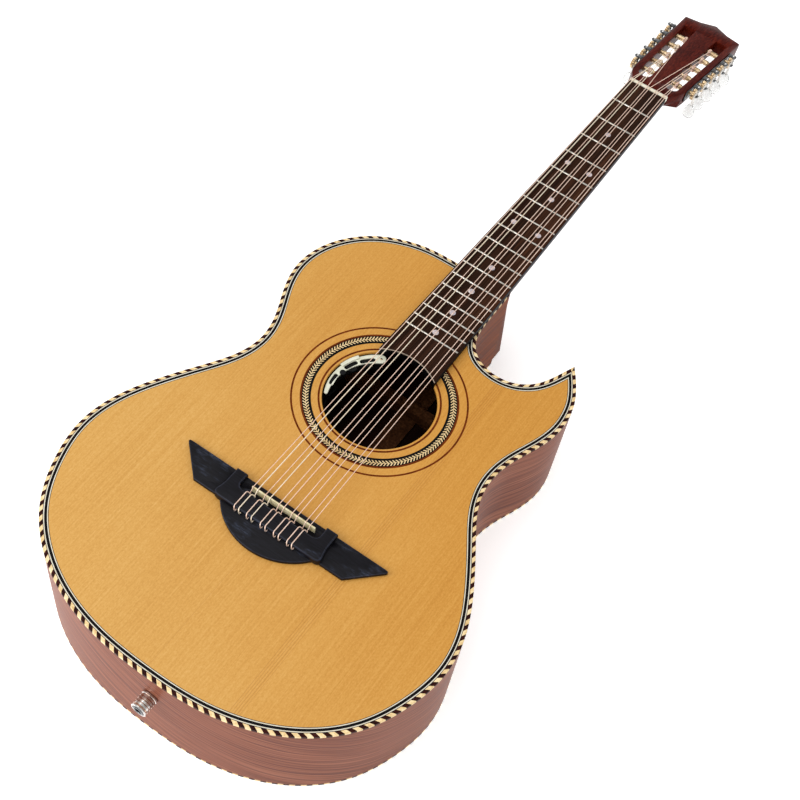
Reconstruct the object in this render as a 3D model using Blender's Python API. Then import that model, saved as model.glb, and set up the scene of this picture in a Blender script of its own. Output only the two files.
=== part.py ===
"""Bajo quinto: a ten-string bass guitar with a sharp cutaway and a slotted head.

It lies on its flat back. +Z points out of the soundboard, +Y runs along the neck
towards the head and +X is the treble side, where the cutaway is. The origin is the
middle of the body's length, on the back's outer face.
"""
import math

import bmesh
import bpy
import numpy as np
from mathutils import Matrix, Vector

MM = 0.001

# Body
TOP = 116 * MM              # outer face of the soundboard above the back
PLATE = 3.0 * MM            # thickness of the soundboard and of the back
FIT = 0.3 * MM              # gap between pieces that touch
BINDING = 3.1 * MM          # width and height of the rope binding
PURFLING = 4.8 * MM         # width of the black and white lines inside the binding
RIM = 2.4 * MM              # thickness of the bent sides
LINING = 6.0 * MM           # width of the strips that hold the plates to the sides
LINING_HEIGHT = 14 * MM
HOLE_Y = 74.5 * MM          # centre of the soundhole
HOLE_R = 52 * MM
ROSETTE_R = (63.2 * MM, 71.0 * MM)

# Neck and strings
SCALE = 650 * MM            # nut to saddle
NUT_Y = 577 * MM            # face of the nut where the scale starts
FRETS = 18
FRET_Z = TOP + 7.5 * MM     # crown of the frets
BOARD_TOP = FRET_Z - 1.0 * MM
BOARD_HALF_NUT = 22.5 * MM
BOARD_HALF_LAST = 30.0 * MM
NUT_DEPTH = 5.2 * MM
JOINT_Y = 250.8 * MM        # end face of the heel, on the sides
SADDLE_Y = NUT_Y - SCALE + 1.0 * MM
SADDLE_TOP = FRET_Z + 4.0 * MM
SADDLE_HALF = 1.5 * MM      # half of its thickness, and the radius of its crown

# Head
HEAD_TILT = math.radians(12)
HEAD_DROP = 3.5 * MM        # face of the head below the frets, at the nut
HEAD_THICK = 19 * MM
EDGE_ANGLE = math.radians(1.6)
EDGE_HALF = 30.8 * MM       # half width of the head where its face starts
SLOT_INSET = 14.6 * MM      # edge of the head to the middle of its slot
SLOT_HALF = 7.2 * MM
SLOT_V = (16.5 * MM, 159 * MM)
POST_FIRST = 138.5 * MM     # post that is furthest from the nut
POST_PITCH = 24.15 * MM
POST_DEPTH = 6 * MM
POST_R = 3.2 * MM
PER_SIDE = 5
COG_R = 6.2 * MM
COG_MID = 6.4 * MM          # middle of the cogs outside the head's edge
WORM_R = 2.8 * MM
WORM_OFFSET = COG_R + WORM_R + FIT

# Bridge
BRIDGE_FRONT = NUT_Y - 640 * MM
BRIDGE_REAR = NUT_Y - 669 * MM
SLAB_TOP = TOP + 4.0 * MM
BLOCK_TOP = TOP + 9.5 * MM
BLOCK_FRONT = NUT_Y - 654.5 * MM
BLOCK_REAR = NUT_Y - 671.3 * MM
STRING_HOLE_Z = TOP + 6.0 * MM

# Electronics
JACK = Vector((5 * MM, -250.6 * MM, 74 * MM))
WHEELS = {"volume": math.radians(139.5), "tone": math.radians(159.5)}
WHEEL_R = 5.4 * MM
WHEEL_RING = 44.8 * MM      # distance of the wheels from the soundhole's centre

# Outer edge of the body, in millimetres. The left side runs from the neck round the
# tail to the waist; the lower right side mirrors it.
EDGE_UPPER_LEFT = [(-32, 250.5), (-66, 248), (-88.7, 241.2), (-109.4, 230.2), (-127, 214.6),
                   (-140.5, 195), (-148.4, 173), (-150, 153), (-144.3, 126), (-129.5, 90)]
EDGE_LOWER = [(-124.6, 64), (-129, 40), (-147, 6), (-170, -33), (-187.4, -74.7), (-191.3, -106),
              (-184, -144), (-164, -185.3), (-131, -217.4), (-90, -238.2), (-45, -248.4)]
EDGE_HORN = [(128.8, 91.7), (139.3, 119.7), (146.3, 149), (145.8, 165.3), (142.2, 181.1),
             (135.6, 195.2), (128.9, 206.1), (121, 217)]
EDGE_CUTAWAY = [(121, 217), (113.5, 198), (102.2, 177.7), (84.2, 165.1), (62.3, 163),
                (41.4, 172.2), (32.5, 186), (29.5, 205), (29, 250.5)]
LOOP_POINTS = (54, 20)      # points of a finished loop along the body and the cutaway
DENSE = 300

# Courses from bass to treble: x at the nut, x at the saddle, radius of the string, and
# the post that winds it, counted from the far end of its side.
STRINGS = {
    "string_1a": (-21.4, -29.8, 0.40, 4), "string_1b": (-18.6, -25.0, 0.75, 3),
    "string_2a": (-12.2, -16.9, 0.35, 2), "string_2b": (-9.4, -11.9, 0.65, 1),
    "string_3a": (-1.6, -2.5, 0.45, 0), "string_3b": (1.2, 2.5, 0.45, 0),
    "string_4a": (9.0, 11.2, 0.40, 1), "string_4b": (11.8, 16.2, 0.40, 2),
    "string_5a": (18.6, 24.9, 0.35, 3), "string_5b": (21.3, 29.8, 0.35, 4),
}

COLOURS = {
    "spruce": ((0.80, 0.52, 0.22), 0.35, 0.0), "sapele": ((0.33, 0.14, 0.10), 0.45, 0.0),
    "mahogany": ((0.16, 0.035, 0.02), 0.35, 0.0), "rosewood": ((0.06, 0.025, 0.02), 0.5, 0.0),
    "ebony": ((0.015, 0.014, 0.016), 0.45, 0.0), "rope": ((0.75, 0.60, 0.36), 0.4, 0.0),
    "purfling": ((0.02, 0.02, 0.02), 0.4, 0.0), "cedar": ((0.45, 0.25, 0.12), 0.6, 0.0),
    "maple": ((0.70, 0.55, 0.35), 0.5, 0.0), "bone": ((0.85, 0.82, 0.72), 0.35, 0.0),
    "brass": ((0.80, 0.60, 0.25), 0.3, 1.0), "nickel": ((0.60, 0.60, 0.58), 0.25, 1.0),
    "steel": ((0.50, 0.50, 0.52), 0.35, 1.0), "bronze": ((0.72, 0.42, 0.28), 0.3, 1.0),
    "ivory_plastic": ((0.78, 0.78, 0.66), 0.35, 0.0), "black_plastic": ((0.02, 0.02, 0.02), 0.5, 0.0),
    "copper_film": ((0.6, 0.35, 0.2), 0.5, 0.6),
}


# ---------------------------------------------------------------- outline

def spline(points):
    """The natural cubic curve through the points, as DENSE points."""
    knots = np.array(points, float)
    at = np.r_[0, np.cumsum(np.hypot(*np.diff(knots, axis=0).T))]
    step = np.diff(at)
    count = len(knots)
    system = np.eye(count)
    right = np.zeros_like(knots)
    for i in range(1, count - 1):
        system[i, i - 1:i + 2] = step[i - 1], 2 * (step[i - 1] + step[i]), step[i]
        slope_after = (knots[i + 1] - knots[i]) / step[i]
        slope_before = (knots[i] - knots[i - 1]) / step[i - 1]
        right[i] = 6 * (slope_after - slope_before)
    bend = np.linalg.solve(system, right)
    along = np.linspace(0, at[-1], DENSE)
    k = np.clip(np.searchsorted(at, along, side="right") - 1, 0, count - 2)
    h = step[k][:, None]
    a = (at[k + 1] - along)[:, None] / h
    b = 1 - a
    curve = a * knots[k] + b * knots[k + 1]
    return curve + ((a ** 3 - a) * bend[k] + (b ** 3 - b) * bend[k + 1]) * h * h / 6


def inset_curve(curve, inset):
    """The curve moved to its left, which is the inside of the body, by inset."""
    tangent = np.gradient(curve, axis=0)
    tangent /= np.hypot(*tangent.T)[:, None]
    return curve + inset * np.stack([-tangent[:, 1], tangent[:, 0]], 1)


def trim(before, after):
    """Both curves, cut off where the end of the first one crosses the second."""
    p, r = before[:-1, None], np.diff(before, axis=0)[:, None]
    q, s = after[None, :-1], np.diff(after, axis=0)[None]
    cross = r[..., 0] * s[..., 1] - r[..., 1] * s[..., 0]
    cross[cross == 0] = 1e-12
    gap = q - p
    t = (gap[..., 0] * s[..., 1] - gap[..., 1] * s[..., 0]) / cross
    u = (gap[..., 0] * r[..., 1] - gap[..., 1] * r[..., 0]) / cross
    hits = np.argwhere((t >= 0) & (t <= 1) & (u >= 0) & (u <= 1))
    i, j = max(hits, key=lambda hit: hit[0] - hit[1])
    corner = before[i] + t[i, j] * (before[i + 1] - before[i])
    return np.vstack([before[:i + 1], corner]), np.vstack([corner, after[j + 1:]])


def respace(curve, count):
    """count points, evenly spaced along the curve, without its last point."""
    at = np.r_[0, np.cumsum(np.hypot(*np.diff(curve, axis=0).T))]
    want = np.linspace(0, at[-1], count + 1)[:-1]
    return np.stack([np.interp(want, at, curve[:, k]) for k in (0, 1)], 1)


def body_outline(inset=0.0):
    """The body's edge, inset by a distance, as a loop that runs anticlockwise."""
    lower_right = [(-x, y) for x, y in reversed(EDGE_LOWER)]
    round_body = [EDGE_CUTAWAY[-1], (0, 250.6)] + EDGE_UPPER_LEFT + EDGE_LOWER
    round_body += [(0, -250.6)] + lower_right + EDGE_HORN
    body = spline(round_body) * MM
    cutaway = spline(EDGE_CUTAWAY) * MM
    if inset > 0:
        body, cutaway = inset_curve(body, inset), inset_curve(cutaway, inset)
        body, cutaway = trim(body, cutaway)
        cutaway, body = trim(cutaway, body)
    return np.vstack([respace(body, LOOP_POINTS[0]), respace(cutaway, LOOP_POINTS[1])])


# ---------------------------------------------------------------- solids

def material(name):
    """The named material, made on first use."""
    found = bpy.data.materials.get(name)
    if found:
        return found
    colour, roughness, metallic = COLOURS[name]
    made = bpy.data.materials.new(name)
    made.use_nodes = True
    shader = made.node_tree.nodes["Principled BSDF"]
    shader.inputs["Base Color"].default_value = (*colour, 1)
    shader.inputs["Roughness"].default_value = roughness
    shader.inputs["Metallic"].default_value = metallic
    return made


def skin(name, rings, look, closed=False, smooth=False):
    """A solid through rings of equal length: capped at both ends, or closed on itself."""
    mesh = bmesh.new()
    loops = [[mesh.verts.new(point) for point in ring] for ring in rings]
    pairs = list(zip(loops, loops[1:]))
    if closed:
        pairs.append((loops[-1], loops[0]))
    else:
        mesh.faces.new(loops[0])
        mesh.faces.new(loops[-1])
    for lower, upper in pairs:
        for k in range(len(lower)):
            n = (k + 1) % len(lower)
            mesh.faces.new((lower[k], lower[n], upper[n], upper[k]))
    bmesh.ops.recalc_face_normals(mesh, faces=mesh.faces)
    data = bpy.data.meshes.new(name)
    mesh.to_mesh(data)
    mesh.free()
    data.materials.append(material(look))
    if smooth:
        data.shade_smooth()
        data.set_sharp_from_angle(angle=math.radians(40))
    made = bpy.data.objects.new(name, data)
    bpy.context.scene.collection.objects.link(made)
    return made


def level(loop, z):
    """The flat loop at height z."""
    return [(x, y, z) for x, y in loop]


def prism(name, loop, low, high, look):
    """The flat loop, extruded between two heights."""
    return skin(name, [level(loop, low), level(loop, high)], look)


def wall(name, outer, inner, low, high, look):
    """A closed wall between two insets of the body's edge."""
    outside, inside = body_outline(outer), body_outline(inner)
    rings = [level(outside, low), level(outside, high), level(inside, high), level(inside, low)]
    return skin(name, rings, look, closed=True)


def box(name, low, high, look):
    """An upright box between two corners."""
    corners = [(low[0], low[1]), (high[0], low[1]), (high[0], high[1]), (low[0], high[1])]
    return prism(name, corners, low[2], high[2], look)


def circle(radius, sides, centre=(0, 0), phase=0.0):
    """Points of a flat circle."""
    turns = [phase + 2 * math.pi * k / sides for k in range(sides)]
    return [(centre[0] + radius * math.cos(a), centre[1] + radius * math.sin(a)) for a in turns]


def turned(name, profile, look, axis="Z", sides=16, flat=1.0, closed=False):
    """A turned solid: profile gives (place on the axis, radius), flat squashes it across."""
    rings = []
    for along, radius in profile:
        ring = circle(radius, sides, phase=math.pi / sides)
        squash = flat if radius > 4.5 * MM else 1.0
        if axis == "Z":
            rings.append([(x, y * squash, along) for x, y in ring])
        elif axis == "X":
            rings.append([(along, x, y) for x, y in ring])
        else:
            rings.append([(x, along, y) for x, y in ring])
    return skin(name, rings, look, closed=closed, smooth=True)


def tube(name, path, radius, look, sides=8):
    """A round tube with capped ends, through the points of the path."""
    points = [Vector(point) for point in path]
    rings = []
    across = None
    for k, point in enumerate(points):
        before = points[max(k - 1, 0)]
        after = points[min(k + 1, len(points) - 1)]
        ahead = (after - before).normalized()
        if across is None:
            across = ahead.orthogonal().normalized()
        across = (across - ahead * across.dot(ahead)).normalized()
        other = ahead.cross(across)
        rings.append([point + across * x + other * y for x, y in circle(radius, sides)])
    return skin(name, rings, look, smooth=True)


def smooth_path(points, count):
    """count points on the smooth curve through the given points."""
    knots = [Vector(point) for point in points]
    knots = [2 * knots[0] - knots[1]] + knots + [2 * knots[-1] - knots[-2]]
    spans = len(knots) - 3
    path = []
    for k in range(count):
        place = spans * k / (count - 1)
        span = min(int(place), spans - 1)
        t = place - span
        a, b, c, d = knots[span:span + 4]
        path.append(0.5 * (2 * b + (c - a) * t + (2 * a - 5 * b + 4 * c - d) * t ** 2
                           + (3 * b - a - 3 * c + d) * t ** 3))
    return path


def combine(base, tools, operation):
    """Joins or cuts base with each tool, which is used up."""
    for tool in tools:
        step = base.modifiers.new("combine", "BOOLEAN")
        step.operation = operation
        step.object = tool
        bpy.context.view_layer.update()
        shape = base.evaluated_get(bpy.context.evaluated_depsgraph_get())
        base.data = bpy.data.meshes.new_from_object(shape)
        base.modifiers.clear()
        bpy.data.objects.remove(tool)
    return base


def cut(base, *tools):
    """base with the tools taken away from it."""
    return combine(base, tools, "DIFFERENCE")


def join(base, *tools):
    """base with the tools added to it."""
    return combine(base, tools, "UNION")


def bake(piece, matrix):
    """The piece, with its mesh moved by the matrix."""
    piece.data.transform(matrix)
    return piece


# ---------------------------------------------------------------- body

def bodywork():
    """Plates, sides, bindings, purfling and rosette."""
    plate_edge = BINDING + FIT
    lines_edge = plate_edge + PURFLING
    back_binding_top = BINDING
    top_binding_low = TOP - BINDING
    prism("back_plate", body_outline(plate_edge), 0, PLATE, "sapele")
    wall("back_binding", 0, BINDING, 0, back_binding_top, "rope")
    wall("top_binding", 0, BINDING, top_binding_low, TOP, "rope")
    wall("top_purfling", plate_edge, lines_edge, TOP - 1.5 * MM, TOP, "purfling")
    lining_z = (PLATE + FIT, TOP - PLATE - FIT)
    wall("back_lining", RIM + FIT, RIM + LINING, lining_z[0], lining_z[0] + LINING_HEIGHT, "cedar")
    wall("top_lining", RIM + FIT, RIM + LINING, lining_z[1] - LINING_HEIGHT, lining_z[1], "cedar")

    sides = wall("side_rim", 0, RIM, back_binding_top + FIT, top_binding_low - FIT, "sapele")
    cut(sides, jack_drill("drill", 6.0 * MM))

    step_z = TOP - 1.5 * MM - FIT
    rings = [level(body_outline(plate_edge), TOP - PLATE), level(body_outline(plate_edge), step_z),
             level(body_outline(lines_edge + FIT), step_z), level(body_outline(lines_edge + FIT), TOP)]
    board = skin("soundboard", rings, "spruce")
    cut(board, disc("hole", HOLE_R, TOP - 2 * PLATE, TOP + PLATE),
        rosette_ring("channel", FIT, TOP - 1.2 * MM - FIT, TOP + PLATE, "spruce"),
        lead_drill("lead_hole"))
    rosette_ring("rosette_band", 0, TOP - 1.2 * MM, TOP, "rope")


def disc(name, radius, low, high):
    """A round cutter on the soundhole's axis."""
    return prism(name, circle(radius, 48, centre=(0, HOLE_Y)), low, high, "spruce")


def rosette_ring(name, grow, low, high, look):
    """The flat ring of the rosette, grown on both sides."""
    inside = circle(ROSETTE_R[0] - grow, 48, centre=(0, HOLE_Y))
    outside = circle(ROSETTE_R[1] + grow, 48, centre=(0, HOLE_Y))
    rings = [level(outside, low), level(outside, high), level(inside, high), level(inside, low)]
    return skin(name, rings, look, closed=True)


def jack_drill(name, radius):
    """A round cutter on the jack's axis, through the tail."""
    drill = turned(name, [(-20 * MM, radius), (60 * MM, radius)], "steel", axis="Y")
    return bake(drill, Matrix.Translation(JACK))


def lead_drill(name):
    """The hole that takes the pickup's lead down through bridge and soundboard."""
    place = pickup_end()
    return prism(name, circle(1.3 * MM, 10, centre=(place[0], place[1])),
                 TOP - 10 * MM, TOP + 1.2 * MM, "spruce")


def pickup_end():
    """Where the lead leaves the strip under the saddle."""
    return (31 * MM, SADDLE_Y)


def blocks():
    """The neck block and the tail block, notched for the linings."""
    low, high = PLATE + FIT, TOP - PLATE - FIT
    notch = LINING_HEIGHT + FIT
    spans = {"tail_block": (-30 * MM, 30 * MM, -246.7 * MM, -240.6 * MM, -226 * MM),
             "neck_block": (-48 * MM, 19.5 * MM, 246.9 * MM, 241.3 * MM, 208 * MM)}
    for name, (left, right, face, notch_y, inner) in spans.items():
        section = [(inner, low), (notch_y, low), (notch_y, low + notch), (face, low + notch),
                   (face, high - notch), (notch_y, high - notch), (notch_y, high), (inner, high)]
        rings = [[(x, y, z) for y, z in section] for x in (left, right)]
        skin(name, rings, "mahogany")
    cut(bpy.data.objects["tail_block"], jack_drill("drill", 6.0 * MM))


def bar(name, start, end, width, low, high):
    """A straight brace between two points, between two heights."""
    a, b = Vector(start) * MM, Vector(end) * MM
    side = (b - a).normalized().orthogonal() * width / 2
    corners = [a - side, b - side, b + side, a + side]
    return prism(name, [(c.x, c.y) for c in corners], low, high, "spruce")


def bracing():
    """The braces of the soundboard and of the back, each set glued up as one frame."""
    high = TOP - PLATE - FIT
    low, tone_low = high - 13 * MM, high - 8 * MM
    frame = bar("top_bracing", (-106, 77), (148, -143), 8 * MM, low, high)
    join(frame, bar("x_leg", (106, 77), (-148, -143), 8 * MM, low, high),
         bar("cross_bar", (-134, 141), (131, 141), 10 * MM, low, high),
         bar("strut_left", (-66, 36), (-66, 141), 7 * MM, tone_low, high),
         bar("strut_right", (66, 36), (66, 141), 7 * MM, tone_low, high),
         bar("tone_bar", (-134, -131), (134, -131), 7 * MM, tone_low, high))
    low = PLATE + FIT
    strip = bar("back_bracing", (0, -225), (0, 207), 20 * MM, low, low + 2.5 * MM)
    ladder = {146: 131, 62: 112, -50: 166, -150: 166}
    rungs = [bar("rung", (-half, y), (half, y), 11 * MM, low, low + 14 * MM)
             for y, half in ladder.items()]
    join(strip, *rungs)


# ---------------------------------------------------------------- bridge

def bridge():
    """The moustache bridge with its tie block, the saddle, the pickup strip and the plate."""
    front, rear = BRIDGE_FRONT, BRIDGE_REAR
    belly_half, belly_sag = 49 * MM, 24.4 * MM
    belly_r = (belly_half ** 2 + belly_sag ** 2) / (2 * belly_sag)
    reach = math.asin(belly_half / belly_r)
    belly = []
    for k in range(13):
        turn = reach * (k / 6 - 1)
        belly.append((belly_r * math.sin(turn), rear - belly_sag + belly_r * (1 - math.cos(turn))))
    tip = 104.5 * MM
    loop = [(-tip, front), (-tip, front - 2 * MM), (-77.3 * MM, rear)] + belly
    loop += [(77.3 * MM, rear), (tip, front - 2 * MM), (tip, front)]
    base = prism("bridge", loop, TOP + FIT, SLAB_TOP, "ebony")

    arm_in, arm_out = 41.5 * MM, 52.5 * MM
    round_r = 5 * MM
    inner = [(arm_in, front), (arm_in, BLOCK_FRONT + round_r)]
    for k in range(1, 5):
        turn = math.pi / 2 * k / 4
        inner.append((arm_in - round_r * (1 - math.cos(turn)),
                      BLOCK_FRONT + round_r * (1 - math.sin(turn))))
    half = [(arm_out, BLOCK_REAR), (arm_out, front)] + inner
    crown = half + [(-x, y) for x, y in reversed(half)]
    block = prism("block", crown, TOP + 2 * MM, BLOCK_TOP, "ebony")
    join(base, block)
    groove_half = 1.8 * MM
    cut(base, box("groove", (-34.6 * MM, SADDLE_Y - groove_half, TOP + 1.2 * MM),
                  (34.6 * MM, SADDLE_Y + groove_half, SLAB_TOP + 2 * MM), "ebony"),
        lead_drill("lead_hole"), string_drills(1.15 * MM))

    half_thick = SADDLE_HALF
    crown = [(-half_thick, TOP + 2.6 * MM)]
    for k in range(7):
        turn = math.pi * (1 - k / 6)
        crown.append((half_thick * math.cos(turn), SADDLE_TOP - half_thick * (1 - math.sin(turn))))
    crown.append((half_thick, TOP + 2.6 * MM))
    skin("saddle", [[(x, SADDLE_Y + y, z) for y, z in crown] for x in (-34 * MM, 34 * MM)], "bone")
    box("saddle_pickup", (-34 * MM, SADDLE_Y - half_thick, TOP + 1.5 * MM),
        (34 * MM, SADDLE_Y + half_thick, TOP + 2.3 * MM), "copper_film")
    plate = [(-54, -64), (54, -64), (62, -71), (62, -122), (-62, -122), (-62, -71)]
    low = TOP - PLATE - FIT
    plate = prism("bridge_plate", [(0.9 * x * MM, y * MM) for x, y in plate], low - 2.5 * MM, low, "maple")
    cut(plate, lead_drill("lead_hole"))


def string_drills(radius):
    """All holes of the tie block, as one cutter."""
    mesh = None
    for _, x, _, _ in STRINGS.values():
        drill = turned("drill", [(BLOCK_REAR - 6 * MM, radius), (BLOCK_FRONT + 2 * MM, radius)],
                       "ebony", axis="Y", sides=6)
        bake(drill, Matrix.Translation((x * MM, 0, STRING_HOLE_Z)))
        mesh = gather(mesh, drill)
    return mesh


def gather(first, second):
    """Both shapes in one object; they mustn't touch."""
    if first is None:
        return second
    mesh = bmesh.new()
    mesh.from_mesh(first.data)
    mesh.from_mesh(second.data)
    mesh.to_mesh(first.data)
    mesh.free()
    bpy.data.objects.remove(second)
    return first


# ---------------------------------------------------------------- neck

def head_frame():
    """The frame of the head's face: +Y towards its tip, +Z out of the face."""
    start = Matrix.Translation((0, NUT_Y + 6 * MM, FRET_Z - HEAD_DROP))
    return start @ Matrix.Rotation(-HEAD_TILT, 4, "X")


def tuner_frame(side, index):
    """The frame of a post: +X times side points out of the head's edge."""
    along = Matrix.Translation((side * EDGE_HALF, 0, 0))
    lean = Matrix.Rotation(-side * EDGE_ANGLE, 4, "Z")
    post = Matrix.Translation((0, POST_FIRST - index * POST_PITCH, -POST_DEPTH))
    return head_frame() @ along @ lean @ post


def board_half(y):
    """Half width of the fingerboard at y."""
    last_fret = fret_y(FRETS)
    return BOARD_HALF_NUT + (BOARD_HALF_LAST - BOARD_HALF_NUT) * (NUT_Y - y) / (NUT_Y - last_fret)


def fret_y(number):
    """Where a fret crosses the fingerboard."""
    return NUT_Y - SCALE + SCALE / 2 ** (number / 12)


def neck_shaft():
    """The rounded shaft, from the heel into the head."""
    rings = []
    for y in (JOINT_Y, 300 * MM, 350 * MM, 450 * MM, 540 * MM, NUT_Y + 12 * MM):
        half = board_half(min(y, NUT_Y)) - 0.4 * MM
        depth = 15 * MM + 3 * MM * (NUT_Y - y) / (NUT_Y - JOINT_Y)
        ring = []
        for k in range(13):
            turn = math.pi * k / 12
            x = half * math.copysign(abs(math.cos(turn)) ** 0.9, math.cos(turn))
            ring.append((x, y, TOP - depth * math.sin(turn) ** 0.9))
        rings.append(ring)
    return skin("neck", rings, "mahogany", smooth=True)


def heel():
    """The deep heel: sections from under the fingerboard down to the back."""
    sections = [(TOP - 0.5 * MM, 252, 296), (TOP - 14 * MM, 252, 292), (TOP - 22 * MM, 252.5, 287),
                (TOP - 34 * MM, 254.5, 282), (TOP - 55 * MM, 258, 279), (6 * MM, 266.5, 277)]
    half = 28.6 * MM
    rings = []
    for z, side_y, front_y in sections:
        ring = [(-half, JOINT_Y, z)]
        for k in range(-6, 7):
            across = k / 6
            rise = 1 - across * across
            ring.append((half * across, (side_y + (front_y - side_y) * rise) * MM, z))
        ring.append((half, JOINT_Y, z))
        rings.append(ring)
    return skin("heel", rings, "mahogany", smooth=True)


def head():
    """The slotted head, drilled for the posts."""
    face = [(22.6, 0.8), (24.5, 6), (28.5, 14), (31.3, 22), (31.8, 34), (35.7, 178.4), (17.6, 182.0)]
    rear = [(9, 0.8), (13, 6), (20, 14), (30.8, 22), (31.8, 34), (35.7, 178.4), (17.6, 182.0)]
    rings = []
    for half, z in ((rear, -HEAD_THICK), (face, -9 * MM), (face, 0)):
        loop = [(x * MM, y * MM) for x, y in half] + [(0, 190.9 * MM)]
        loop += [(-x * MM, y * MM) for x, y in reversed(half)]
        rings.append(level(loop, z))
    return bake(skin("head", rings, "mahogany"), head_frame())


def slot_cutter(side):
    """The slot of one side, with round ends."""
    low, high = SLOT_V[0] + SLOT_HALF, SLOT_V[1] - SLOT_HALF
    loop = []
    for centre, start in ((high, 0), (low, math.pi)):
        for k in range(7):
            turn = start + math.pi * k / 6
            loop.append((SLOT_HALF * math.cos(turn) - side * SLOT_INSET,
                         centre + SLOT_HALF * math.sin(turn)))
    cutter = prism("slot", loop, -2 * HEAD_THICK, HEAD_THICK, "mahogany")
    along = Matrix.Translation((side * EDGE_HALF, 0, 0)) @ Matrix.Rotation(-side * EDGE_ANGLE, 4, "Z")
    return bake(cutter, head_frame() @ along)


def post_drills(side, radius, start, end):
    """All post holes of one side, as one cutter."""
    cutter = None
    for index in range(PER_SIDE):
        drill = turned("drill", [(-side * start, radius), (-side * end, radius)], "nickel",
                       axis="X", sides=12)
        cutter = gather(cutter, bake(drill, tuner_frame(side, index)))
    return cutter


def neck():
    """The neck with heel and head, and the bar set into it."""
    piece = neck_shaft()
    join(piece, heel(), head())
    bar_low, bar_high = TOP - 9 * MM, TOP - 0.6 * MM
    bar_half, bar_y = 3 * MM, (262 * MM, NUT_Y - 8 * MM)
    room = 0.3 * MM
    cut(piece, box("channel", (-bar_half - room, bar_y[0] - room, bar_low - room),
                   (bar_half + room, bar_y[1] + room, TOP + PLATE), "mahogany"))
    for side in (-1, 1):
        cut(piece, slot_cutter(side))
        cut(piece, post_drills(side, POST_R + 0.35 * MM, -3 * MM, 26.4 * MM))
    for name in ("string_3a", "string_3b"):
        cut(piece, tube("groove", head_run(name), (STRINGS[name][2] + 0.5) * MM, "mahogany"))
    box("neck_bar", (-bar_half, bar_y[0], bar_low), (bar_half, bar_y[1], bar_high), "steel")


def fingerboard():
    """The fingerboard, with the frets pressed into it, and the nut."""
    start, low = NUT_Y - FIT, TOP + FIT
    corner_half = board_half(HOLE_Y + 40 * MM)
    reach = math.asin(corner_half / HOLE_R)
    arc = [reach * (1 - k / 5) for k in range(11)]
    loop = [(-BOARD_HALF_NUT, start), (-corner_half, HOLE_Y + HOLE_R * math.cos(reach))]
    loop += [(-HOLE_R * math.sin(a), HOLE_Y + HOLE_R * math.cos(a)) for a in arc[1:-1]]
    loop += [(corner_half, HOLE_Y + HOLE_R * math.cos(reach)), (BOARD_HALF_NUT, start)]
    board = prism("fingerboard", loop, low, BOARD_TOP, "rosewood")
    wires = None
    for number in range(1, FRETS + 1):
        y, half = fret_y(number), board_half(fret_y(number)) - 0.9 * MM
        section = [(-1.1, -1.5), (1.1, -1.5), (1.1, 0.3), (0.5, 1.0), (-0.5, 1.0), (-1.1, 0.3)]
        rings = [[(x, y + across * MM, BOARD_TOP + up * MM) for across, up in section]
                 for x in (-half, half)]
        wires = gather(wires, skin("wire", rings, "nickel"))
    join(board, wires)
    section = [(0, TOP + FIT), (NUT_DEPTH, TOP + FIT), (NUT_DEPTH, FRET_Z - 1.2 * MM),
               (NUT_DEPTH / 2, FRET_Z + 0.1 * MM), (0, FRET_Z + 0.1 * MM)]
    skin("nut", [[(x, NUT_Y + y, z) for y, z in section] for x in (-BOARD_HALF_NUT, BOARD_HALF_NUT)],
         "bone")


# ---------------------------------------------------------------- tuners

def tuners():
    """Two plates, and five worms and five posts on each."""
    for side, word in ((-1, "bass"), (1, "treble")):
        tuner_plate(side, word)
        for index in range(PER_SIDE):
            frame = tuner_frame(side, index)
            post(f"tuner_post_{word}_{index + 1}", side, frame)
            worm(f"tuner_worm_{word}_{index + 1}", side, frame)


def tuner_plate(side, word):
    """The side plate with a pair of ears for each worm."""
    inner, face, ear_tip = FIT, 1.5 * MM, COG_MID + WORM_R + 1.0 * MM
    low, high = -9.5 * MM, 5.7 * MM
    ears = ((3.9, 5.3), (-6.6, -5.0))
    last = tuner_frame(side, PER_SIDE - 1)

    def block(name, x, y, z, frame):
        lows = (min(side * x[0], side * x[1]), y[0], z[0])
        highs = (max(side * x[0], side * x[1]), y[1], z[1])
        return bake(box(name, lows, highs, "nickel"), frame)

    length = (PER_SIDE - 1) * POST_PITCH
    plate = block(f"tuner_plate_{word}", (inner, face), (-11 * MM, length + 17 * MM), (low, high), last)
    supports = None
    for index in range(PER_SIDE):
        frame = tuner_frame(side, index)
        for ear in ears:
            arm = block("ear", (face - 0.6 * MM, ear_tip), (WORM_OFFSET - 2.6 * MM, WORM_OFFSET + 2.6 * MM),
                        (ear[0] * MM, ear[1] * MM), frame)
            supports = gather(supports, arm)
    join(plate, supports)
    shafts = None
    for index in range(PER_SIDE):
        drill = turned("drill", [(-12 * MM, 1.6 * MM), (12 * MM, 1.6 * MM)], "nickel", sides=8)
        bake(drill, tuner_frame(side, index) @ Matrix.Translation((side * COG_MID, WORM_OFFSET, 0)))
        shafts = gather(shafts, drill)
    cut(plate, shafts)
    cut(plate, post_drills(side, POST_R + 0.35 * MM, -face - MM, MM))


def post(name, side, frame):
    """A string post across the slot, with its cog outside the plate."""
    profile = [(COG_MID + 2 * MM, COG_R), (COG_MID - 2 * MM, COG_R),
               (COG_MID - 2 * MM, POST_R), (-26 * MM, POST_R)]
    piece = turned(name, [(side * along, radius) for along, radius in profile], "brass",
                   axis="X", sides=14)
    piece.matrix_world = frame


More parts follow.
